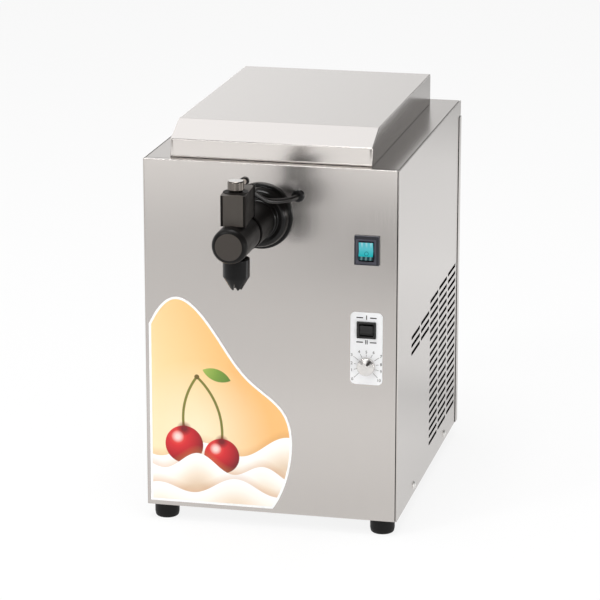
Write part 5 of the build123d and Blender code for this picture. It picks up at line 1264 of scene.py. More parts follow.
@dataclass
class Cabinet(SubAssembly):
    """Sheets and feet of the cabinet.

    Attributes:
        taper: How much narrower a foot is at its sole.
        swell: Height at which a foot has its full width.
        rounds: Rounds of a foot's sole, of its widest edge and of its top.
        steps: Steps round a foot.
        seam: Width of the seam between the sheets, then how deep the strip in the left one starts and ends.
        skins: Outer faces of each sheet.
        sheets: Finish of the sheets that differ from the rest.
    """

    taper: float = 1.0
    swell: float = 5.0
    rounds: Corner = (2.2, 0.8, 0.3)
    steps: int = 64
    seam: Corner = (1.0, 0.12, 0.9)
    skins: ClassVar[dict[str, tuple[Side, ...]]] = {
        "front_panel": (Side.FRONT, Side.TOP),
        "left_side_panel": (Side.LEFT, Side.FRONT, Side.TOP),
        "right_side_panel": (Side.RIGHT, Side.FRONT, Side.TOP),
        "rear_cover": (Side.LEFT, Side.RIGHT, Side.REAR),
        "top_deck": (Side.TOP, Side.REAR),
    }
    sheets: ClassVar[dict[str, Sheet]] = {
        "front_panel": replace(SHEET_STEEL, roughness=0.2, lean=(-0.055, 0.0, 0.012)),
        "top_deck": replace(SHEET_STEEL, colour="#B4AFAB", grain=Grain.DEPTH),
    }

    def build(self) -> None:
        """Turns the feet and closes the left seam, which doesn't show as a line."""
        panel = Extent.of("front_panel")
        width, start, end = (size * MM for size in self.seam)
        low = Vector((panel.low.x - width, panel.low.y + start, panel.low.z))
        strip = block(Extent(low, Vector((panel.low.x, panel.low.y + end, panel.high.z - start))))
        self.add("left_seam_strip", strip, "steel_sheet")
        height = Extent.of("base_tray").low.z / MM
        sole, edge, top = self.rounds
        merged = bmesh.new()
        cad = self.copy_of("rubber_feet")
        for foot in islands(cad):
            radius = foot.size.x / 2 / MM
            side = [(radius - self.taper, 0, sole), (radius, self.swell, edge), (radius, height, top)]
            place = Vector((foot.middle.x, foot.middle.y, foot.low.z))
            gather(merged, turned([(0, 0, 0), *side, (0, height, 0)], facing(UP, place), self.steps))
        cad.free()
        self.add("feet", merged, "black_rubber", "rubber_feet")

    def dress(self) -> None:
        """Gives sheets and feet their finishes."""
        self.coat("feet", RUBBER)
        self.coat("left_seam_strip", SEAM_STEEL)
        for node, sides in self.skins.items():
            box = Extent.of(node)
            ends = {-1: box.low, 1: box.high}
            skins = tuple((axis, sign, ends[sign][axis]) for axis, sign in (side.value for side in sides))
            finish = self.sheets.get(node, SHEET_STEEL)
            name = f"{SHEET_STEEL.name}, {node.replace('_', ' ')}"
            self.coat_node(node, replace(finish, name=name, skins=skins))


@dataclass
class Lid(SubAssembly):
    """Loose lid with its sloped front.

    Attributes:
        band: Height of the upright band at the front.
        slope: Depth of the slope behind it.
        sheet: Thickness of the sheet.
        fold: Outer radius of the folds.
        segments: Steps of a fold's round.
        hem: Gap that the hem leaves under itself, in front of the gasket.
        bead: Height of the bead along the hem, and how far it stands out.
        corner: Width of the folded-over corners of the band.
        joint: Width and depth of the joint beside a corner.
        back: How far the band leans back over its height.
    """

    body: str = "lid"
    band: float = 17.3
    slope: float = 35.0
    sheet: float = 1.2
    fold: float = 1.1
    segments: int = 4
    hem: float = 0.1
    bead: Pair = (1.6, 0.5)
    corner: float = 3.2
    joint: Pair = (0.6, 0.25)
    back: float = 1.1

    def build(self) -> None:
        """Folds the sheet and lays the bead along its hem."""
        box = Extent.of("lid_shell")
        crease = Vector((box.middle.x, box.low.y, box.low.z + self.band * MM))
        box.low.z = Extent.of("lid_gasket").low.z + self.hem * MM
        self.add("lid_sheet", self.folded(box, crease), "steel_sheet", "lid_shell")
        high, out = (size * MM for size in self.bead)
        low = Vector((box.low.x, box.low.y - out, box.low.z))
        bead = block(Extent(low, Vector((box.high.x, box.low.y + out, box.low.z + high))))
        lips = [edge for edge in bead.edges if max(vert.co.y for vert in edge.verts) < box.low.y]
        round_edges(bead, lips, self.bead[1], self.segments)
        self.add("lid_bead", bead, "steel_sheet")

    def folded(self, box: Extent, crease: Vector) -> Mesh:
        """Folds the sheet from a block: cuts the slope, opens it below, rounds the folds, gives it a thickness.

        Args:
            box: The space that the sheet fills.
            crease: A point on the fold between band and slope.

        Returns:
            The folded sheet.
        """
        bm = block(box)
        brow = Vector((box.middle.x, box.low.y + self.slope * MM, box.high.z))
        outward = RIGHT.cross(brow - crease)
        parts = bm.verts[:] + bm.edges[:] + bm.faces[:]
        cut = bmesh.ops.bisect_plane(bm, geom=parts, plane_co=crease, plane_no=outward, clear_outer=True)
        rim = [part for part in cut["geom_cut"] if isinstance(part, Edge)]
        bmesh.ops.holes_fill(bm, edges=rim, sides=0)
        bmesh.ops.recalc_face_normals(bm, faces=bm.faces)
        bmesh.ops.delete(bm, geom=looking(bm, -UP), context="FACES")
        folds = [vert for vert in bm.verts if (vert.co - crease).yz.length < MERGE]
        bmesh.ops.translate(bm, verts=folds, vec=(0, self.back * MM, 0))
        round_edges(bm, [edge for edge in bm.edges if not edge.is_boundary], self.fold, self.segments)
        bmesh.ops.solidify(bm, geom=bm.faces[:], thickness=self.sheet * MM)
        for x in (box.low.x + self.corner * MM, box.high.x - self.corner * MM):
            ranks = {f: (round(f.calc_center_median().y, PLACES), -f.calc_area()) for f in looking(bm, AHEAD)}
            groove(bm, min(ranks, key=ranks.get), Vector((x, box.low.y, box.low.z)), RIGHT, self.joint)
        return bm

    def dress(self) -> None:
        """Gives the lid's pieces their finishes."""
        self.coat("lid_sheet", LID_STEEL)
        self.coat("lid_bead", LID_STEEL)
        self.coat_node("lid_gasket", RUBBER)
        self.coat_node("lid_liner", LINER_PLASTIC)


@dataclass
class OutletHead(SubAssembly):
    """Turned pieces on the head's axis, as radius, reach in front of the panel and round.

    Attributes:
        flange: Stepped flange on the panel.
        collar: Sleeve in front of it.
        seal: Ring in the joint.
        barrel: Round-ended valve body.
        end: Cosine of the angle up to which a face belongs to the barrel's flat end.
        neck: Neck under the valve body, as radius, height over the axis and round.
        bush: Bush of the air screw.
        bush_steps: Steps round the bush.
        nozzle_edge: Round of the nozzle's edges.
        nozzle_steps: Steps of that round.
        nozzle_angle: The least angle of such an edge in degrees.
    """

    flange: Outline = (
        (7.0, 0, 0),
        (34.1, 0, 0),
        (34.1, 4.0, 1.4),
        (31.0, 4.0, 0.4),
        (31.0, 9.0, 3.4),
        (28.0, 15.0, 2.6),
        (21.0, 15.0, 1.2),
        (21.0, 21.0, 2.2),
        (7.0, 21.0, 0),
    )
    collar: Outline = ((12.0, 21.0, 0), (19.5, 21.0, 0.5), (19.5, 46.5, 0), (19.0, 71.2, 1.0), (12.0, 71.2, 0))
    seal: Outline = ((12.0, 71.2, 0), (16.9, 71.2, 0), (16.9, 75.5, 0), (12.0, 75.5, 0))
    barrel: Outline = ((0, 75.5, 0), (18.0, 75.5, 0.9), (18.0, 133.0, 6.0), (0, 133.0, 0))
    end: float = 0.97
    neck: Outline = ((5.5, -27.0, 0), (9.5, -27.0, 0.4), (9.5, -10.0, 0), (5.5, -10.0, 0))
    bush: Outline = ((2.9, 0, 0), (4.4, 0, 0), (4.4, 3.0, 0.7), (2.9, 3.0, 0.4))
    bush_steps: int = 48
    nozzle_edge: float = 0.3
    nozzle_steps: int = 2
    nozzle_angle: float = 35.0

    def build(self) -> None:
        """Turns the pieces and softens the nozzle."""
        collar = Extent.of("outlet_collar").middle
        front = Extent.of("front_panel").low.y
        nozzle = Extent.of("star_nozzle").middle
        bush = Extent.of("air_inlet_bush").middle
        forward = facing(AHEAD, Vector((collar.x, front, collar.z)))
        upright = facing(UP, Vector((nozzle.x, nozzle.y, collar.z)))
        inlet = facing(AHEAD, Vector((bush.x, front, bush.z)))
        self.add("flange", turned(self.flange, forward), "head_plastic", "head_flange")
        self.add("collar", turned(self.collar, forward), "head_plastic", "outlet_collar")
        self.add("joint_seal", turned(self.seal, forward), "black_rubber", "barrel_seal")
        barrel = turned(self.barrel, forward)
        # The flat end takes a lighter copy of the plastic, as painted light
        for face in looking(barrel, AHEAD, self.end):
            face.material_index = 1
        self.add("valve_barrel", barrel, "head_plastic", "valve_body")
        self.add("valve_neck", turned(self.neck, upright), "head_plastic")
        self.add("air_bush", turned(self.bush, inlet, self.bush_steps), "head_plastic", "air_inlet_bush")
        soft = self.copy_of("star_nozzle")
        round_edges(soft, sharp_edges(soft, self.nozzle_angle), self.nozzle_edge, self.nozzle_steps)
        self.add("nozzle_soft", soft, "head_plastic", "star_nozzle", "nozzle")

    def dress(self) -> None:
        """Gives the head's pieces their finishes."""
        axis = tuple(Extent.of("outlet_collar").middle)
        # Dull black with fine rings, and its end face, painted lighter as painted light, with deeper rings
        side = TurnedPlastic("turned black plastic of the valve", "#0E0C0B", 0.38, shine=0.17, centre=axis)
        end = replace(side, name="rings on the end of the valve", colour="#3A342F", shine=0.4, depth=0.014)
        self.coat("valve_barrel", side, end)
        for name in ("flange", "valve_neck", "air_bush"):
            self.coat(name, HEAD_PLASTIC)
        self.coat("collar", COLLAR_PLASTIC)
        self.coat_node("air_screw", AIR_STEEL)
        self.coat("joint_seal", RUBBER)
        self.coat("nozzle_soft", NOZZLE_PLASTIC)


@dataclass
class Solenoid(SubAssembly):
    """Coil and nut over the valve.

    Attributes:
        nut: Outline of the nut, as radius, height over its foot and round.
        plate: Outline of the plate under the nut, as radius, height over the moulding and round.
        worn: Radius of the plate's middle, which takes the front's greyer finish: partly wear, partly painted
            light.
        steps: Steps round nut and plate.
        seam: Distance of the moulding's seams from its front corners.
        joint: Width and depth of these seams.
        gasket: Thickness of the plug's gasket and how far it stands out.
        lap: How far the gasket's middle lies in front of the plug's end, as a share of its thickness.
    """

    nut: Outline = ((0, 0, 0), (7.8, 0, 0), (8.2, 0.5, 0.2), (8.2, 8.4, 0.6), (7.3, 9.2, 0.2), (0, 9.2, 0))
    plate: Outline = (
        (0, -0.4, 0),
        (12.7, -0.4, 0),
        (12.7, 0.3, 0.1),
        (11.6, 0.3, 0),
        (11.4, 0.15, 0),
        (0, 0.15, 0),
    )
    worn: float = 11.4
    steps: int = 64
    seam: float = 1.3
    joint: Pair = (0.9, 0.8)
    gasket: Pair = (2.2, 1.0)
    lap: float = 0.4

    def build(self) -> None:
        """Grooves the moulding, adds the plug's gasket and turns nut and plate."""
        coil = self.copy_of("solenoid_coil")
        ahead = largest(coil, AHEAD).normal.copy()
        side = UP.cross(ahead)
        middle = largest(coil, AHEAD).calc_center_median()
        half = max(abs((vert.co - middle).dot(side)) for vert in largest(coil, AHEAD).verts)
        for sign in (-1, 1):
            place = middle + side * sign * (half - self.seam * MM)
            groove(coil, largest(coil, AHEAD), place, side, self.joint)
        top = largest(coil, UP)
        roof = top.calc_center_median().z
        # Front and top take the greyer finish: partly wear, partly painted light, with the darker sides as
        # painted shade
        for face in (largest(coil, AHEAD), top):
            face.material_index = 1
        self.add("coil_block", coil, "coil_plastic", "solenoid_coil")
        self.add("plug_gasket", self.plug_gasket(ahead), "black_rubber")
        box = Extent.of("coil_nut")
        foot = Vector((box.middle.x, box.middle.y, box.low.z))
        nut = turned(self.nut, facing(UP, foot), self.steps)
        # The end keeps the bright metal; the sides take a darker copy as painted shade
        for face in looking(nut, UP):
            face.material_index = 1
        self.add("nut", nut, "knob_metal", "coil_nut")
        foot.z = roof
        plate = turned(self.plate, facing(UP, foot), self.steps)
        # The plate's middle takes the same greyer finish, partly wear and partly painted light
        for face in looking(plate, UP):
            reach = (face.calc_center_median() - foot).xy.length
            face.material_index = int(reach < self.worn * MM)
        self.add("coil_plate", plate, "coil_plastic")

    def plug_gasket(self, ahead: Vector) -> Mesh:
        """Makes the thin gasket at the end of the coil's tail.

        Args:
            ahead: The way the coil's front looks.

        Returns:
            The gasket.
        """
        cad = self.copy_of("solenoid_coil")
        rear = max(looking(cad, -ahead), key=lambda face: face.calc_center_median().y)
        side = UP.cross(ahead)
        middle = rear.calc_center_bounds()
        wide, high = (2 * max(abs((vert.co - middle).dot(way)) for vert in rear.verts) for way in (side, UP))
        cad.free()
        thick, out = (size * MM for size in self.gasket)
        place = Matrix.Translation(middle + ahead * self.lap * thick)
        turn = Matrix((side, ahead, UP)).transposed().to_4x4()
        size = Matrix.Diagonal((wide + 2 * out, thick, high + 2 * out, 1))
        bm = bmesh.new()
        bmesh.ops.create_cube(bm, size=1.0, matrix=place @ turn @ size)
        bmesh.ops.recalc_face_normals(bm, faces=bm.faces)
        return bm

    def dress(self) -> None:
        """Gives the solenoid's pieces their finishes."""
        # Darker sides, and a front and top painted lighter: partly wear, partly painted light
        self.coat("coil_block", COIL_PLASTIC, COIL_FRONT)
        self.coat("plug_gasket", RUBBER)
        self.coat("coil_plate", RUBBER, COIL_FRONT)
        axis = tuple(Extent.of("coil_nut").middle)
        # Turned metal with lines of light along it, its sides painted darker as painted shade, and its bright
        # end
        nut = Spun("turned metal of the nut", "#746E68", 0.2, centre=axis, stretch=0.5)
        self.coat("nut", nut, replace(nut, name="bright end of the nut", colour="#DAD7D3"))
        self.coat_node("solenoid_lead", LEAD_SLEEVE)
        self.coat_node("lead_grommet", LEAD_SLEEVE)


@dataclass
class RockerSwitch(SubAssembly):
    """A rocker in its bezel.

    Attributes:
        housing: CAD node of the housing.
        rocker: CAD node of the rocker.
        seat: CAD node that the bezel lies on.
        slots: Material slots of housing and rocker.
        rim: Width of the bezel's flat rim.
        chamfer: Width and depth of the slope round the window.
        pocket: Depth of the window.
        draft: How much narrower the window gets over that depth.
        body_inset: How much smaller the body behind the panel is on each side.
        soft: Round of the bezel's edges, and of the rocker's.
        edge: Finish of the slopes, if not the housing's; the power switch's is lighter, as a painted highlight.
        shift: How far the window and the rocker's visible cap lie off their drawn middle, across and up.
        SLOPES: Between these normals, along the depth, a face of the bezel is a slope.
        CAP: Up to this normal, along the depth, a face of the rocker belongs to its cap; its other faces take
            the housing's finish, which on the lit rocker is painted shade.
    """

    housing: str = ""
    rocker: str = ""
    seat: str = ""
    slots: tuple[str, str] = ("", "")
    rim: float = 2.2
    chamfer: Pair = (1.2, 1.0)
    pocket: float = 6.0
    draft: float = 0.05
    body_inset: float = 2.3
    soft: Pair = (0.6, 0.35)
    edge: Finish | None = None
    shift: Pair = (0.0, 0.0)
    SLOPES: ClassVar[Pair] = (-0.95, -0.25)
    CAP: ClassVar[float] = -0.78

    def build(self) -> None:
        """Builds the bezel from a block and softens the rocker."""
        shift = Vector((self.shift[0], 0, self.shift[1])) * MM
        self.add(self.housing + "_soft", self.bezel(shift), self.slots[0], self.housing)
        rocker = self.copy_of(self.rocker)
        round_edges(rocker, sharp_edges(rocker), self.soft[1])
        bmesh.ops.translate(rocker, verts=rocker.verts, vec=shift)
        # Faces beyond the cap take the housing's finish: on the lit rocker this darkens its sides as painted
        # shade
        for face in rocker.faces:
            face.material_index = int(face.normal.y > self.CAP)
        self.add(self.rocker + "_soft", rocker, self.slots[1], self.rocker, self.rocker)

    def bezel(self, shift: Vector) -> Mesh:
        """Makes the bezel with its window and the body behind the panel.

        Args:
            shift: How far the window lies off its drawn middle.

        Returns:
            The bezel, with its slopes as its second material.
        """
        box = Extent.of(self.housing)
        seat = Extent.of(self.seat).low.y
        bm = block(Extent(box.low, Vector((box.high.x, seat, box.high.z))))
        outer = [edge for edge in bm.edges if min(vert.co.y for vert in edge.verts) < seat - MERGE]
        round_edges(bm, outer, self.soft[0])
        rear = max(bm.faces, key=lambda face: face.calc_center_median().y)
        inset = {"thickness": self.body_inset * MM, "use_even_offset": True}
        bmesh.ops.inset_region(bm, faces=[rear], **inset)
        moved = bmesh.ops.extrude_face_region(bm, geom=[rear])["geom"]
        verts = [part for part in moved if isinstance(part, bmesh.types.BMVert)]
        bmesh.ops.translate(bm, verts=verts, vec=(0, box.high.y - seat, 0))
        bmesh.ops.delete(bm, geom=[rear], context="FACES")
        window = largest(bm, AHEAD)
        for thickness, sink in ((self.rim, 0.0), self.chamfer, (self.draft, self.pocket)):
            sizes = {"thickness": thickness * MM, "depth": -sink * MM, "use_even_offset": True}
            bmesh.ops.inset_region(bm, faces=[window], **sizes)
            if not sink:
                bmesh.ops.translate(bm, verts=window.verts, vec=shift)
        low, high = self.SLOPES
        for face in bm.faces:
            face.material_index = int(low < face.normal.y < high)
        return bm

    def dress(self) -> None:
        """Gives housing and rocker their finishes."""
        plain = SLOT_FINISHES[self.slots[0]]
        # The slopes take the edge finish: on the power switch a painted highlight
        self.coat(self.housing + "_soft", plain, self.edge or plain)
        finish = SLOT_FINISHES[self.slots[1]]
        if self.slots[1] == "switch_lit":
            rocker = Extent.of(self.rocker)
            ends = {"low": tuple(rocker.low), "high": tuple(rocker.high)}
            # Clear green-blue that glows a little, with painted light above and painted shade at its foot
            finish = Lit("lit plastic of the power rocker", "#13A0A5", 0.2, **ends)
        # Second finish: the housing's, on the rocker's sides, as painted shade
        self.coat(self.rocker + "_soft", finish, plain)


@dataclass
class Dial(SubAssembly):
    """Knob and printed label.

    Attributes:
        knob: Outline of the knob, as radius, height over its foot and round.
        steps: Steps round the knob.
        pointer: Angle of the pointer, clockwise from the top, where it starts and ends, and its width; the
            pointer is a dark bar that stands for the shade in the CAD knob's groove, as painted shade.
        rib: Height of the pointer.
        numbers: How many numbers the scale has.
        turn: Angle between two numbers in degrees; the scale is even on both sides of the top.
        across: Distance from the knob's axis to the columns of numbers.
        rise: Distance from the knob's axis to the top row of numbers, then to the bottom row.
        tick: Where a line starts, from the knob's axis, how far from a number it ends, and its width.
        figure: Size of the numbers' type.
        second: How far a number of two figures moves in from the label's edge.
        mark: Size of the marks' type at the mode switch, and their distance from the switch's edge.
        bar: Where a bar beside a mark starts and ends, from its middle, and its width.
        weight: How much the marks' type is thickened; the numbers have half of it.
        lift: How far the print stands in front of the label.
    """

    knob: Outline = ((0, 0, 0), (9.3, 0, 0), (9.3, 1.2, 0.3), (8.9, 4.4, 0.5), (4.0, 6.0, 0.5), (0, 6.0, 0))
    steps: int = 72
    pointer: tuple[float, float, float, float] = (36.0, 2.6, 8.7, 2.0)
    rib: float = 1.8
    numbers: int = 11
    turn: float = 27.0
    across: float = 15.2
    rise: Pair = (14.7, 14.5)
    tick: Corner = (10.2, 2.4, 0.45)
    figure: float = 4.2
    second: float = 1.4
    mark: Pair = (6.2, 4.1)
    bar: Corner = (3.6, 10.4, 1.2)
    weight: float = 0.16
    lift: float = 0.03

    def build(self) -> None:
        """Turns the knob and prints the label."""
        knob = Extent.of("portion_knob")
        foot = Vector((knob.middle.x, knob.low.y + self.knob[-1][1] * MM, knob.middle.z))
        spun = turned(self.knob, facing(AHEAD, foot), self.steps)
        self.add("knob_spun", spun, "knob_metal", "portion_knob", "portion_knob")
        face = Vector((foot.x, knob.low.y - self.lift * MM, foot.z))
        # A dark bar where the CAD knob has its pointer groove: painted shade
        pointer = self.dash(face, *self.pointer)
        bmesh.ops.solidify(pointer, geom=pointer.faces[:], thickness=self.rib * MM)
        self.add("pointer_groove_shade", pointer, "switch_black", body="portion_knob")
        label = Extent.of("control_label").low.y - self.lift * MM
        scale = bmesh.new()
        for number in range(self.numbers):
            self.print_number(scale, number, Vector((knob.middle.x, label, knob.middle.z)))
        switch = Extent.of("mode_switch_housing")
        size, gap = self.mark
        for text, height in (("I", switch.high.z + gap * MM), ("II", switch.low.z - gap * MM)):
            middle = Vector((switch.middle.x, label, height))
            gather(scale, lettering(text, size, self.weight, middle), 1)
            for side in (-90, 90):
                gather(scale, self.dash(middle, side, *self.bar), 1)
        self.add("label_print", scale, "label_white")

    def print_number(self, scale: Mesh, number: int, axis: Vector) -> None:
        """Prints one number and its line.

        Args:
            scale: The print, which grows.
            number: The number.
            axis: Where the knob's axis meets the label.
        """
        degrees = (number - (self.numbers - 1) / 2) * self.turn
        angle = math.radians(degrees)
        way = Vector((math.sin(angle), 0, math.cos(angle)))
        high = self.rise[0] if way.z > 0 else self.rise[1]
        reach = min(self.across / max(abs(way.x), MERGE), high / max(abs(way.z), MERGE))
        inward = self.second * (len(str(number)) - 1)
        place = axis + way * reach * MM - RIGHT * inward * MM
        gather(scale, lettering(str(number), self.figure, self.weight / 2, place))
        start, short, width = self.tick
        gather(scale, self.dash(axis, degrees, start, reach - short - inward, width))

    @staticmethod
    def dash(middle: Vector, degrees: float, start: float, end: float, width: float) -> Mesh:
        """Prints a straight line that points away from a place.

        Args:
            middle: The place.
            degrees: Direction of the line, clockwise from the top.
            start: Where it starts, in mm from the place.
            end: Where it ends.
            width: Its width.

        Returns:
            The line as a flat mesh.
        """
        turn = Matrix.Rotation(math.radians(degrees), 4, "Y")
        shift = Matrix.Translation((0, 0, (start + end) / 2 * MM))
        size = Matrix.Diagonal((width * MM, 1, (end - start) * MM, 1))
        upright = Matrix.Rotation(math.pi / 2, 4, "X")
        place = Matrix.Translation(middle) @ turn @ shift @ size @ upright
        bm = bmesh.new()
        bmesh.ops.create_grid(bm, x_segments=1, y_segments=1, size=0.5, matrix=place)
        return bm

    def dress(self) -> None:
        """Gives knob and label their finishes."""
        turning = {"axis": (0.0, 1.0, 0.0), "centre": tuple(Extent.of("portion_knob").middle)}
        # Bright metal with fan-shaped lights round its axis
        self.coat("knob_spun", Spun("spun metal of the knob", "#E2DFDC", 0.22, stretch=0.6, **turning))
        # The pointer bar takes the dark ink as painted shade of the groove
        self.coat("pointer_groove_shade", DARK_INK_AND_POINTER_SHADE)
        self.coat("label_print", SCALE_INK, DARK_INK_AND_POINTER_SHADE)
        self.coat_node("control_label", LABEL_FILM)


@dataclass
class Sticker(SubAssembly):
    """Printed sticker with a white edge.

    Attributes:
        edge: Width of the white edge.
    """

    edge: float = 2.4

    def build(self) -> None:
        """Takes the sticker's front from the frame and sets a field into it."""
        bm = self.copy_of("front_sticker")
        front = largest(bm, AHEAD)
        bmesh.ops.inset_region(bm, faces=[front], thickness=self.edge * MM, use_even_offset=True)
        front.material_index = 1
        self.add("sticker", bm, "sticker_print", "front_sticker")

    def dress(self) -> None:
        """Gives edge and field their finishes."""
        self.coat("sticker", STICKER_FILM, STICKER_ART)


@dataclass
class Inside(SubAssembly):
    """The valve's spring, and CAD nodes that are shown as they are.

    Attributes:
        wire: Radius of the spring's wire.
        turns: How many turns the spring has.
        keep: Share of its height that is left when the plunger is up.
    """

    wire: float = 0.45
    turns: int = 4
    keep: float = 0.49

    def build(self) -> None:
        """Winds the spring and gives it a mesh of its own."""
        space = Extent.of("valve_spring")
        self.add("spring_coil", wound(space, self.wire * MM, self.turns), "shaft_steel", "valve_spring")
        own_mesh(self.pieces["spring_coil"])

    def dress(self) -> None:
        """Gives the spring its finish, and each node without one the finish of its slot."""
        self.coat("spring_coil", SHAFT_STEEL)
        for part in self.frame["record"]["subparts"]:
            if part["node"] not in self.dressed:
                self.coat_node(part["node"], SLOT_FINISHES[part["material_slot"]])


# Studio


@dataclass(frozen=True)
class Lamp:
    """A square soft lamp that looks at the object.

    Attributes:
        name: What it is.
        place: Where it hangs, in metres.
        side: Its side in metres.
        power: Its power in watts.
        colour: Its sRGB colour.
    """

    name: str
    place: Corner
    side: float
    power: float
    colour: str = WHITE

    def hang(self, target: Vector) -> None:
        """Puts the lamp in the scene.

        Args:
            target: What it looks at.
        """
        light = bpy.data.lights.new(self.name, "AREA")
        light.size = self.side
        light.energy = self.power
        light.color = linear(self.colour)[:3]
        holder = bpy.data.objects.new(self.name, light)
        holder.location = self.place
        holder.rotation_euler = (target - Vector(self.place)).to_track_quat("-Z", "Y").to_euler()
        bpy.context.scene.collection.objects.link(holder)


@dataclass
class Studio:
    """Floor, light and camera, in metres.

    Attributes:
        floor: Side of the floor.
        paint: Colour of the floor.
        white: How much of the floor's white is its own for the camera, so that shadows stay faint.
        mirrored: The same for reflections.
        floor_tone: Places along the floor, from back to front, and the brightness that reflections see there.
        patch: Places across the front at which a greyer patch starts and is full in its reflection.
        patch_run: Places along the floor at which the patch starts, is full, starts to fade and ends.
        patch_depth: How much darker it is.
        slant: How far the front's reflection moves to the left for each metre that it lies further away.
        flare: How much brighter the floor is along a strip, which draws bright lines on upright folds.
        strip: Where the strip starts, its bearing from the front in degrees, and how far from its middle it
            starts to fade and ends.
        strip_run: Distances from its start at which it begins to brighten and is full.
        spots: Places that draw lights and darks on nut and nozzle: middle, inner and outer radius, and change.
        ambient: Strength of the light from all round.
        room: Strength of the world that reflections show on the camera's side, and behind the object.
        room_run: Between these directions from front to back it changes.
        sides: How much of that shows on the left and on the right.
        sides_run: Between these directions from left to right it changes.
        skyline: How much more shows just over the horizon, which draws a bright line on the side's upper fold.
        skyline_run: Between these heights over the horizon it fades.
        lamps: The lamps.
        target: What the lamps look at.
        lens: Focal length in mm.
        sensor: Width of the camera's sensor in mm.
        eye: Place of the camera.
        azimuth: Its bearing from the front in degrees, positive to the right.
        elevation: Its height in degrees.
    """

    floor: float = 40.0
    paint: str = "#F4F4F4"
    white: float = 0.86
    mirrored: float = 0.75
    floor_tone: tuple[Pair, ...] = (
        (2.3, 0.46),
        (1.6, 0.98),
        (1.1, 1.012),
        (0.95, 1.044),
        (0.75, 0.98),
        (0.5, 0.932),
        (0.37, 0.756),
        (0.2, 0.932),
        (-0.226, 0.9),
        (-0.38, 0.98),
        (-0.53, 1.028),
        (-0.7, 0.892),
        (-0.85, 0.86),
        (-1.16, 0.812),
        (-1.4, 0.74),
        (-1.51, 0.868),
        (-1.73, 1.14),
        (-2.6, 1.5),
    )
    patch: Pair = (0.041, 0.12)
    patch_run: tuple[float, float, float, float] = (-1.05, -1.5, -1.69, -1.93)
    patch_depth: float = 0.8
    slant: float = 0.348
    flare: float = 2.4
    strip: tuple[float, float, float, float, float] = (0.13, -0.18, 118.0, 0.07, 0.15)
    strip_run: Pair = (0.35, 0.55)
    spots: tuple[tuple[float, float, float, float, float], ...] = ((0.02, -1.85, 0.1, 0.26, 4.8),)
    ambient: float = 0.5
    room: Pair = (0.3, 0.97)
    room_run: Pair = (0.0, 0.45)
    sides: Pair = (1.4, 0.3)
    sides_run: Pair = (-0.5, 0.2)
    skyline: float = 1.6
    skyline_run: Pair = (0.03, 0.08)
    lamps: tuple[Lamp, ...] = (
        Lamp("key lamp", (-1.7, -2.1, 2.3), 0.7, 27.0),
        Lamp("top lamp", (0.0, -0.45, 2.8), 1.2, 38.0),
        Lamp("slope lamp", (-0.3, 1.4, 2.7), 1.8, 4.8, "#F2F7FF"),
        Lamp("front lamp", (-0.75, -3.2, 1.75), 1.5, 10.0),
        Lamp("right lamp", (2.0, -1.2, 0.35), 0.3, 8.0),
    )
    target: Corner = (0.0, 0.0, 0.2)
    lens: float = 178.16
    sensor: float = 36.0
    eye: Corner = (0.6771, -2.9449, 1.0544)
    azimuth: float = 12.875
    elevation: float = 15.562

    def build(self) -> None:
        """Makes floor, world, lamps and camera."""
        self.lay_floor()
        self.light_world()
        for lamp in self.lamps:
            lamp.hang(Vector(self.target))
        self.set_camera()

    @staticmethod
    def seen(tree: Tree) -> tuple[Socket, Socket]:
        """Gives masks for the rays that show a surface.

        Args:
            tree: The tree that takes the nodes.

        Returns:
            A mask for the camera and one for metal and glass.
        """
        rays = add_node(tree, "LightPath").node.outputs
        mirrors = (rays["Is Glossy Ray"], rays["Is Transmission Ray"])
        return rays["Is Camera Ray"], add_node(tree, "Math", mirrors, operation="MAXIMUM")

    def lay_floor(self) -> None:
        """Lays a white floor that keeps the object's shadow."""
        material = bpy.data.materials.new("white studio floor")
        material.use_nodes = True
        tree = material.node_tree
        tree.nodes.remove(tree.nodes["Principled BSDF"])
        camera, mirror = self.seen(tree)
        strength = add_node(tree, "Mix", {0: camera, 2: self.reflected(tree), 3: 1.0})
        mirrored = add_node(tree, "Math", (mirror, self.mirrored), operation="MULTIPLY")
        share = add_node(tree, "Math", (camera, self.white, mirrored), operation="MULTIPLY_ADD")
        matt = add_node(tree, "BsdfDiffuse", {"Color": linear(self.paint)})
        glow = add_node(tree, "Emission", {"Color": linear(WHITE), "Strength": strength})
        surface = add_node(tree, "MixShader", (share, matt, glow))
        feed(tree.nodes["Material Output"], {"Surface": surface})
        bm = bmesh.new()
        bmesh.ops.create_grid(bm, x_segments=1, y_segments=1, size=self.floor / 2)
        piece = put("floor", bm)
        piece.data.materials.append(material)

    def reflected(self, tree: Tree) -> Socket:
        """Gives the brightness that reflections see on the floor.

        Args:
            tree: The floor's tree.

        Returns:
            The brightness's socket.
        """
        where = add_node(tree, "TexCoord", out="Object")
        right, back, _ = add_node(tree, "SeparateXYZ", (where,)).node.outputs
        tone: float | Socket = self.floor_tone[0][1]
        for (start, old), (end, new) in zip(self.floor_tone, self.floor_tone[1:]):
            step = add_node(tree, "MapRange", (back, start, end, 0, new - old))
            tone = add_node(tree, "Math", (tone, step), operation="ADD")
        across = add_node(tree, "Math", (back, -self.slant, right), operation="MULTIPLY_ADD")
        patch = add_node(tree, "MapRange", (across, *self.patch, 0, self.patch_depth))
        for ends in ((*self.patch_run[:2], 0, 1), (*self.patch_run[2:], 1, 0)):
            share = add_node(tree, "MapRange", (back, *ends))
            patch = add_node(tree, "Math", (patch, share), operation="MULTIPLY")
        tone = add_node(tree, "Math", (tone, patch), operation="SUBTRACT")
        tone = add_node(tree, "Math", (tone, self.strip_light(tree, where)), operation="ADD")
        for x, y, near, far, change in self.spots:
            away = add_node(tree, "VectorMath", (where, (x, y, 0)), "Value", operation="DISTANCE")
            spot = add_node(tree, "MapRange", (away, near, far, change, 0))
            tone = add_node(tree, "Math", (tone, spot), operation="ADD")
        return tone

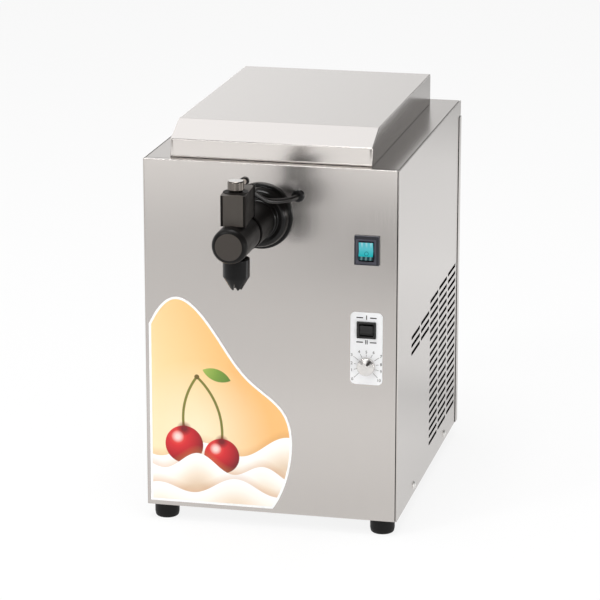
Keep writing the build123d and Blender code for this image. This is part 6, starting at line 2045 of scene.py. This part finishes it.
    def strip_light(self, tree: Tree, where: Socket) -> Socket:
        """Gives how much brighter the strip makes the floor.

        Args:
            tree: The floor's tree.
            where: The floor's coordinates.

        Returns:
            The brightness's socket.
        """
        x, y, degrees, near, far = self.strip
        bearing = math.radians(degrees)
        along = (math.sin(bearing), -math.cos(bearing), 0)
        aside = (math.cos(bearing), math.sin(bearing), 0)
        arm = add_node(tree, "VectorMath", (where, (x, y, 0)), operation="SUBTRACT")
        reach = add_node(tree, "VectorMath", (arm, along), "Value", operation="DOT_PRODUCT")
        off = add_node(tree, "VectorMath", (arm, aside), "Value", operation="DOT_PRODUCT")
        beside = add_node(tree, "Math", (off,), operation="ABSOLUTE")
        flare = add_node(tree, "MapRange", (reach, *self.strip_run, 0, self.flare))
        share = add_node(tree, "MapRange", (beside, near, far, 1, 0))
        return add_node(tree, "Math", (flare, share), operation="MULTIPLY")

    def light_world(self) -> None:
        """Gives an even light from all round, white where the camera sees it and dimmer behind the camera."""
        world = bpy.data.worlds.new("studio")
        bpy.context.scene.world = world
        world.use_nodes = True
        tree = world.node_tree
        camera, mirror = self.seen(tree)
        way = add_node(tree, "TexCoord", out="Generated")
        right, back, up = add_node(tree, "SeparateXYZ", (way,)).node.outputs
        side = add_node(tree, "MapRange", (right, *self.sides_run, *self.sides))
        horizon = add_node(tree, "MapRange", (up, *self.skyline_run, self.skyline, 0))
        across = add_node(tree, "Math", (side, horizon), operation="ADD")
        depth = add_node(tree, "MapRange", (back, *self.room_run, *self.room))
        room = add_node(tree, "Math", (depth, across), operation="MULTIPLY")
        shown = add_node(tree, "Math", (camera, room), operation="MAXIMUM")
        mask = add_node(tree, "Math", (camera, mirror), operation="MAXIMUM")
        strength = add_node(tree, "Mix", {0: mask, 2: self.ambient, 3: shown})
        feed(tree.nodes["Background"], {"Color": linear(WHITE), "Strength": strength})

    def set_camera(self) -> None:
        """Puts the camera where the photograph was taken from."""
        camera = bpy.data.cameras.new("camera")
        camera.lens = self.lens
        camera.sensor_width = self.sensor
        camera.clip_end = 2 * self.floor
        holder = bpy.data.objects.new("camera", camera)
        bearing, height = math.radians(self.azimuth), math.radians(self.elevation)
        flat = math.cos(height)
        look = Vector((-math.sin(bearing) * flat, math.cos(bearing) * flat, -math.sin(height)))
        holder.location = self.eye
        holder.rotation_euler = look.to_track_quat("-Z", "Y").to_euler()
        bpy.context.scene.collection.objects.link(holder)
        bpy.context.scene.camera = holder
        bpy.context.scene.view_settings.view_transform = "Standard"


def main() -> None:
    """Loads the frame, dresses it and builds the studio."""
    logging.basicConfig(level=logging.INFO, format="%(message)s")
    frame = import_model()
    power = {
        "housing": "power_switch_housing",
        "rocker": "power_rocker",
        "seat": "front_panel",
        "slots": ("switch_bezel", "switch_lit"),
    }
    mode = {
        "housing": "mode_switch_housing",
        "rocker": "mode_rocker",
        "seat": "control_label",
        "slots": ("switch_black", "switch_black"),
    }
    groups = [
        Cabinet(frame),
        Lid(frame),
        OutletHead(frame),
        Solenoid(frame),
        RockerSwitch(frame, rim=1.9, chamfer=(2.5, 1.2), shift=(-0.6, -1.2), edge=BEZEL_SLOPE_HIGHLIGHT, **power),
        RockerSwitch(frame, rim=1.4, chamfer=(0.6, 0.4), body_inset=1.8, **mode),
        Dial(frame),
        Sticker(frame),
        Inside(frame),
    ]
    for group in groups:
        group.build()
        group.dress()
        log.info("dressed %s", type(group).__name__)
    Studio().build()


if __name__ == "__main__":
    main()
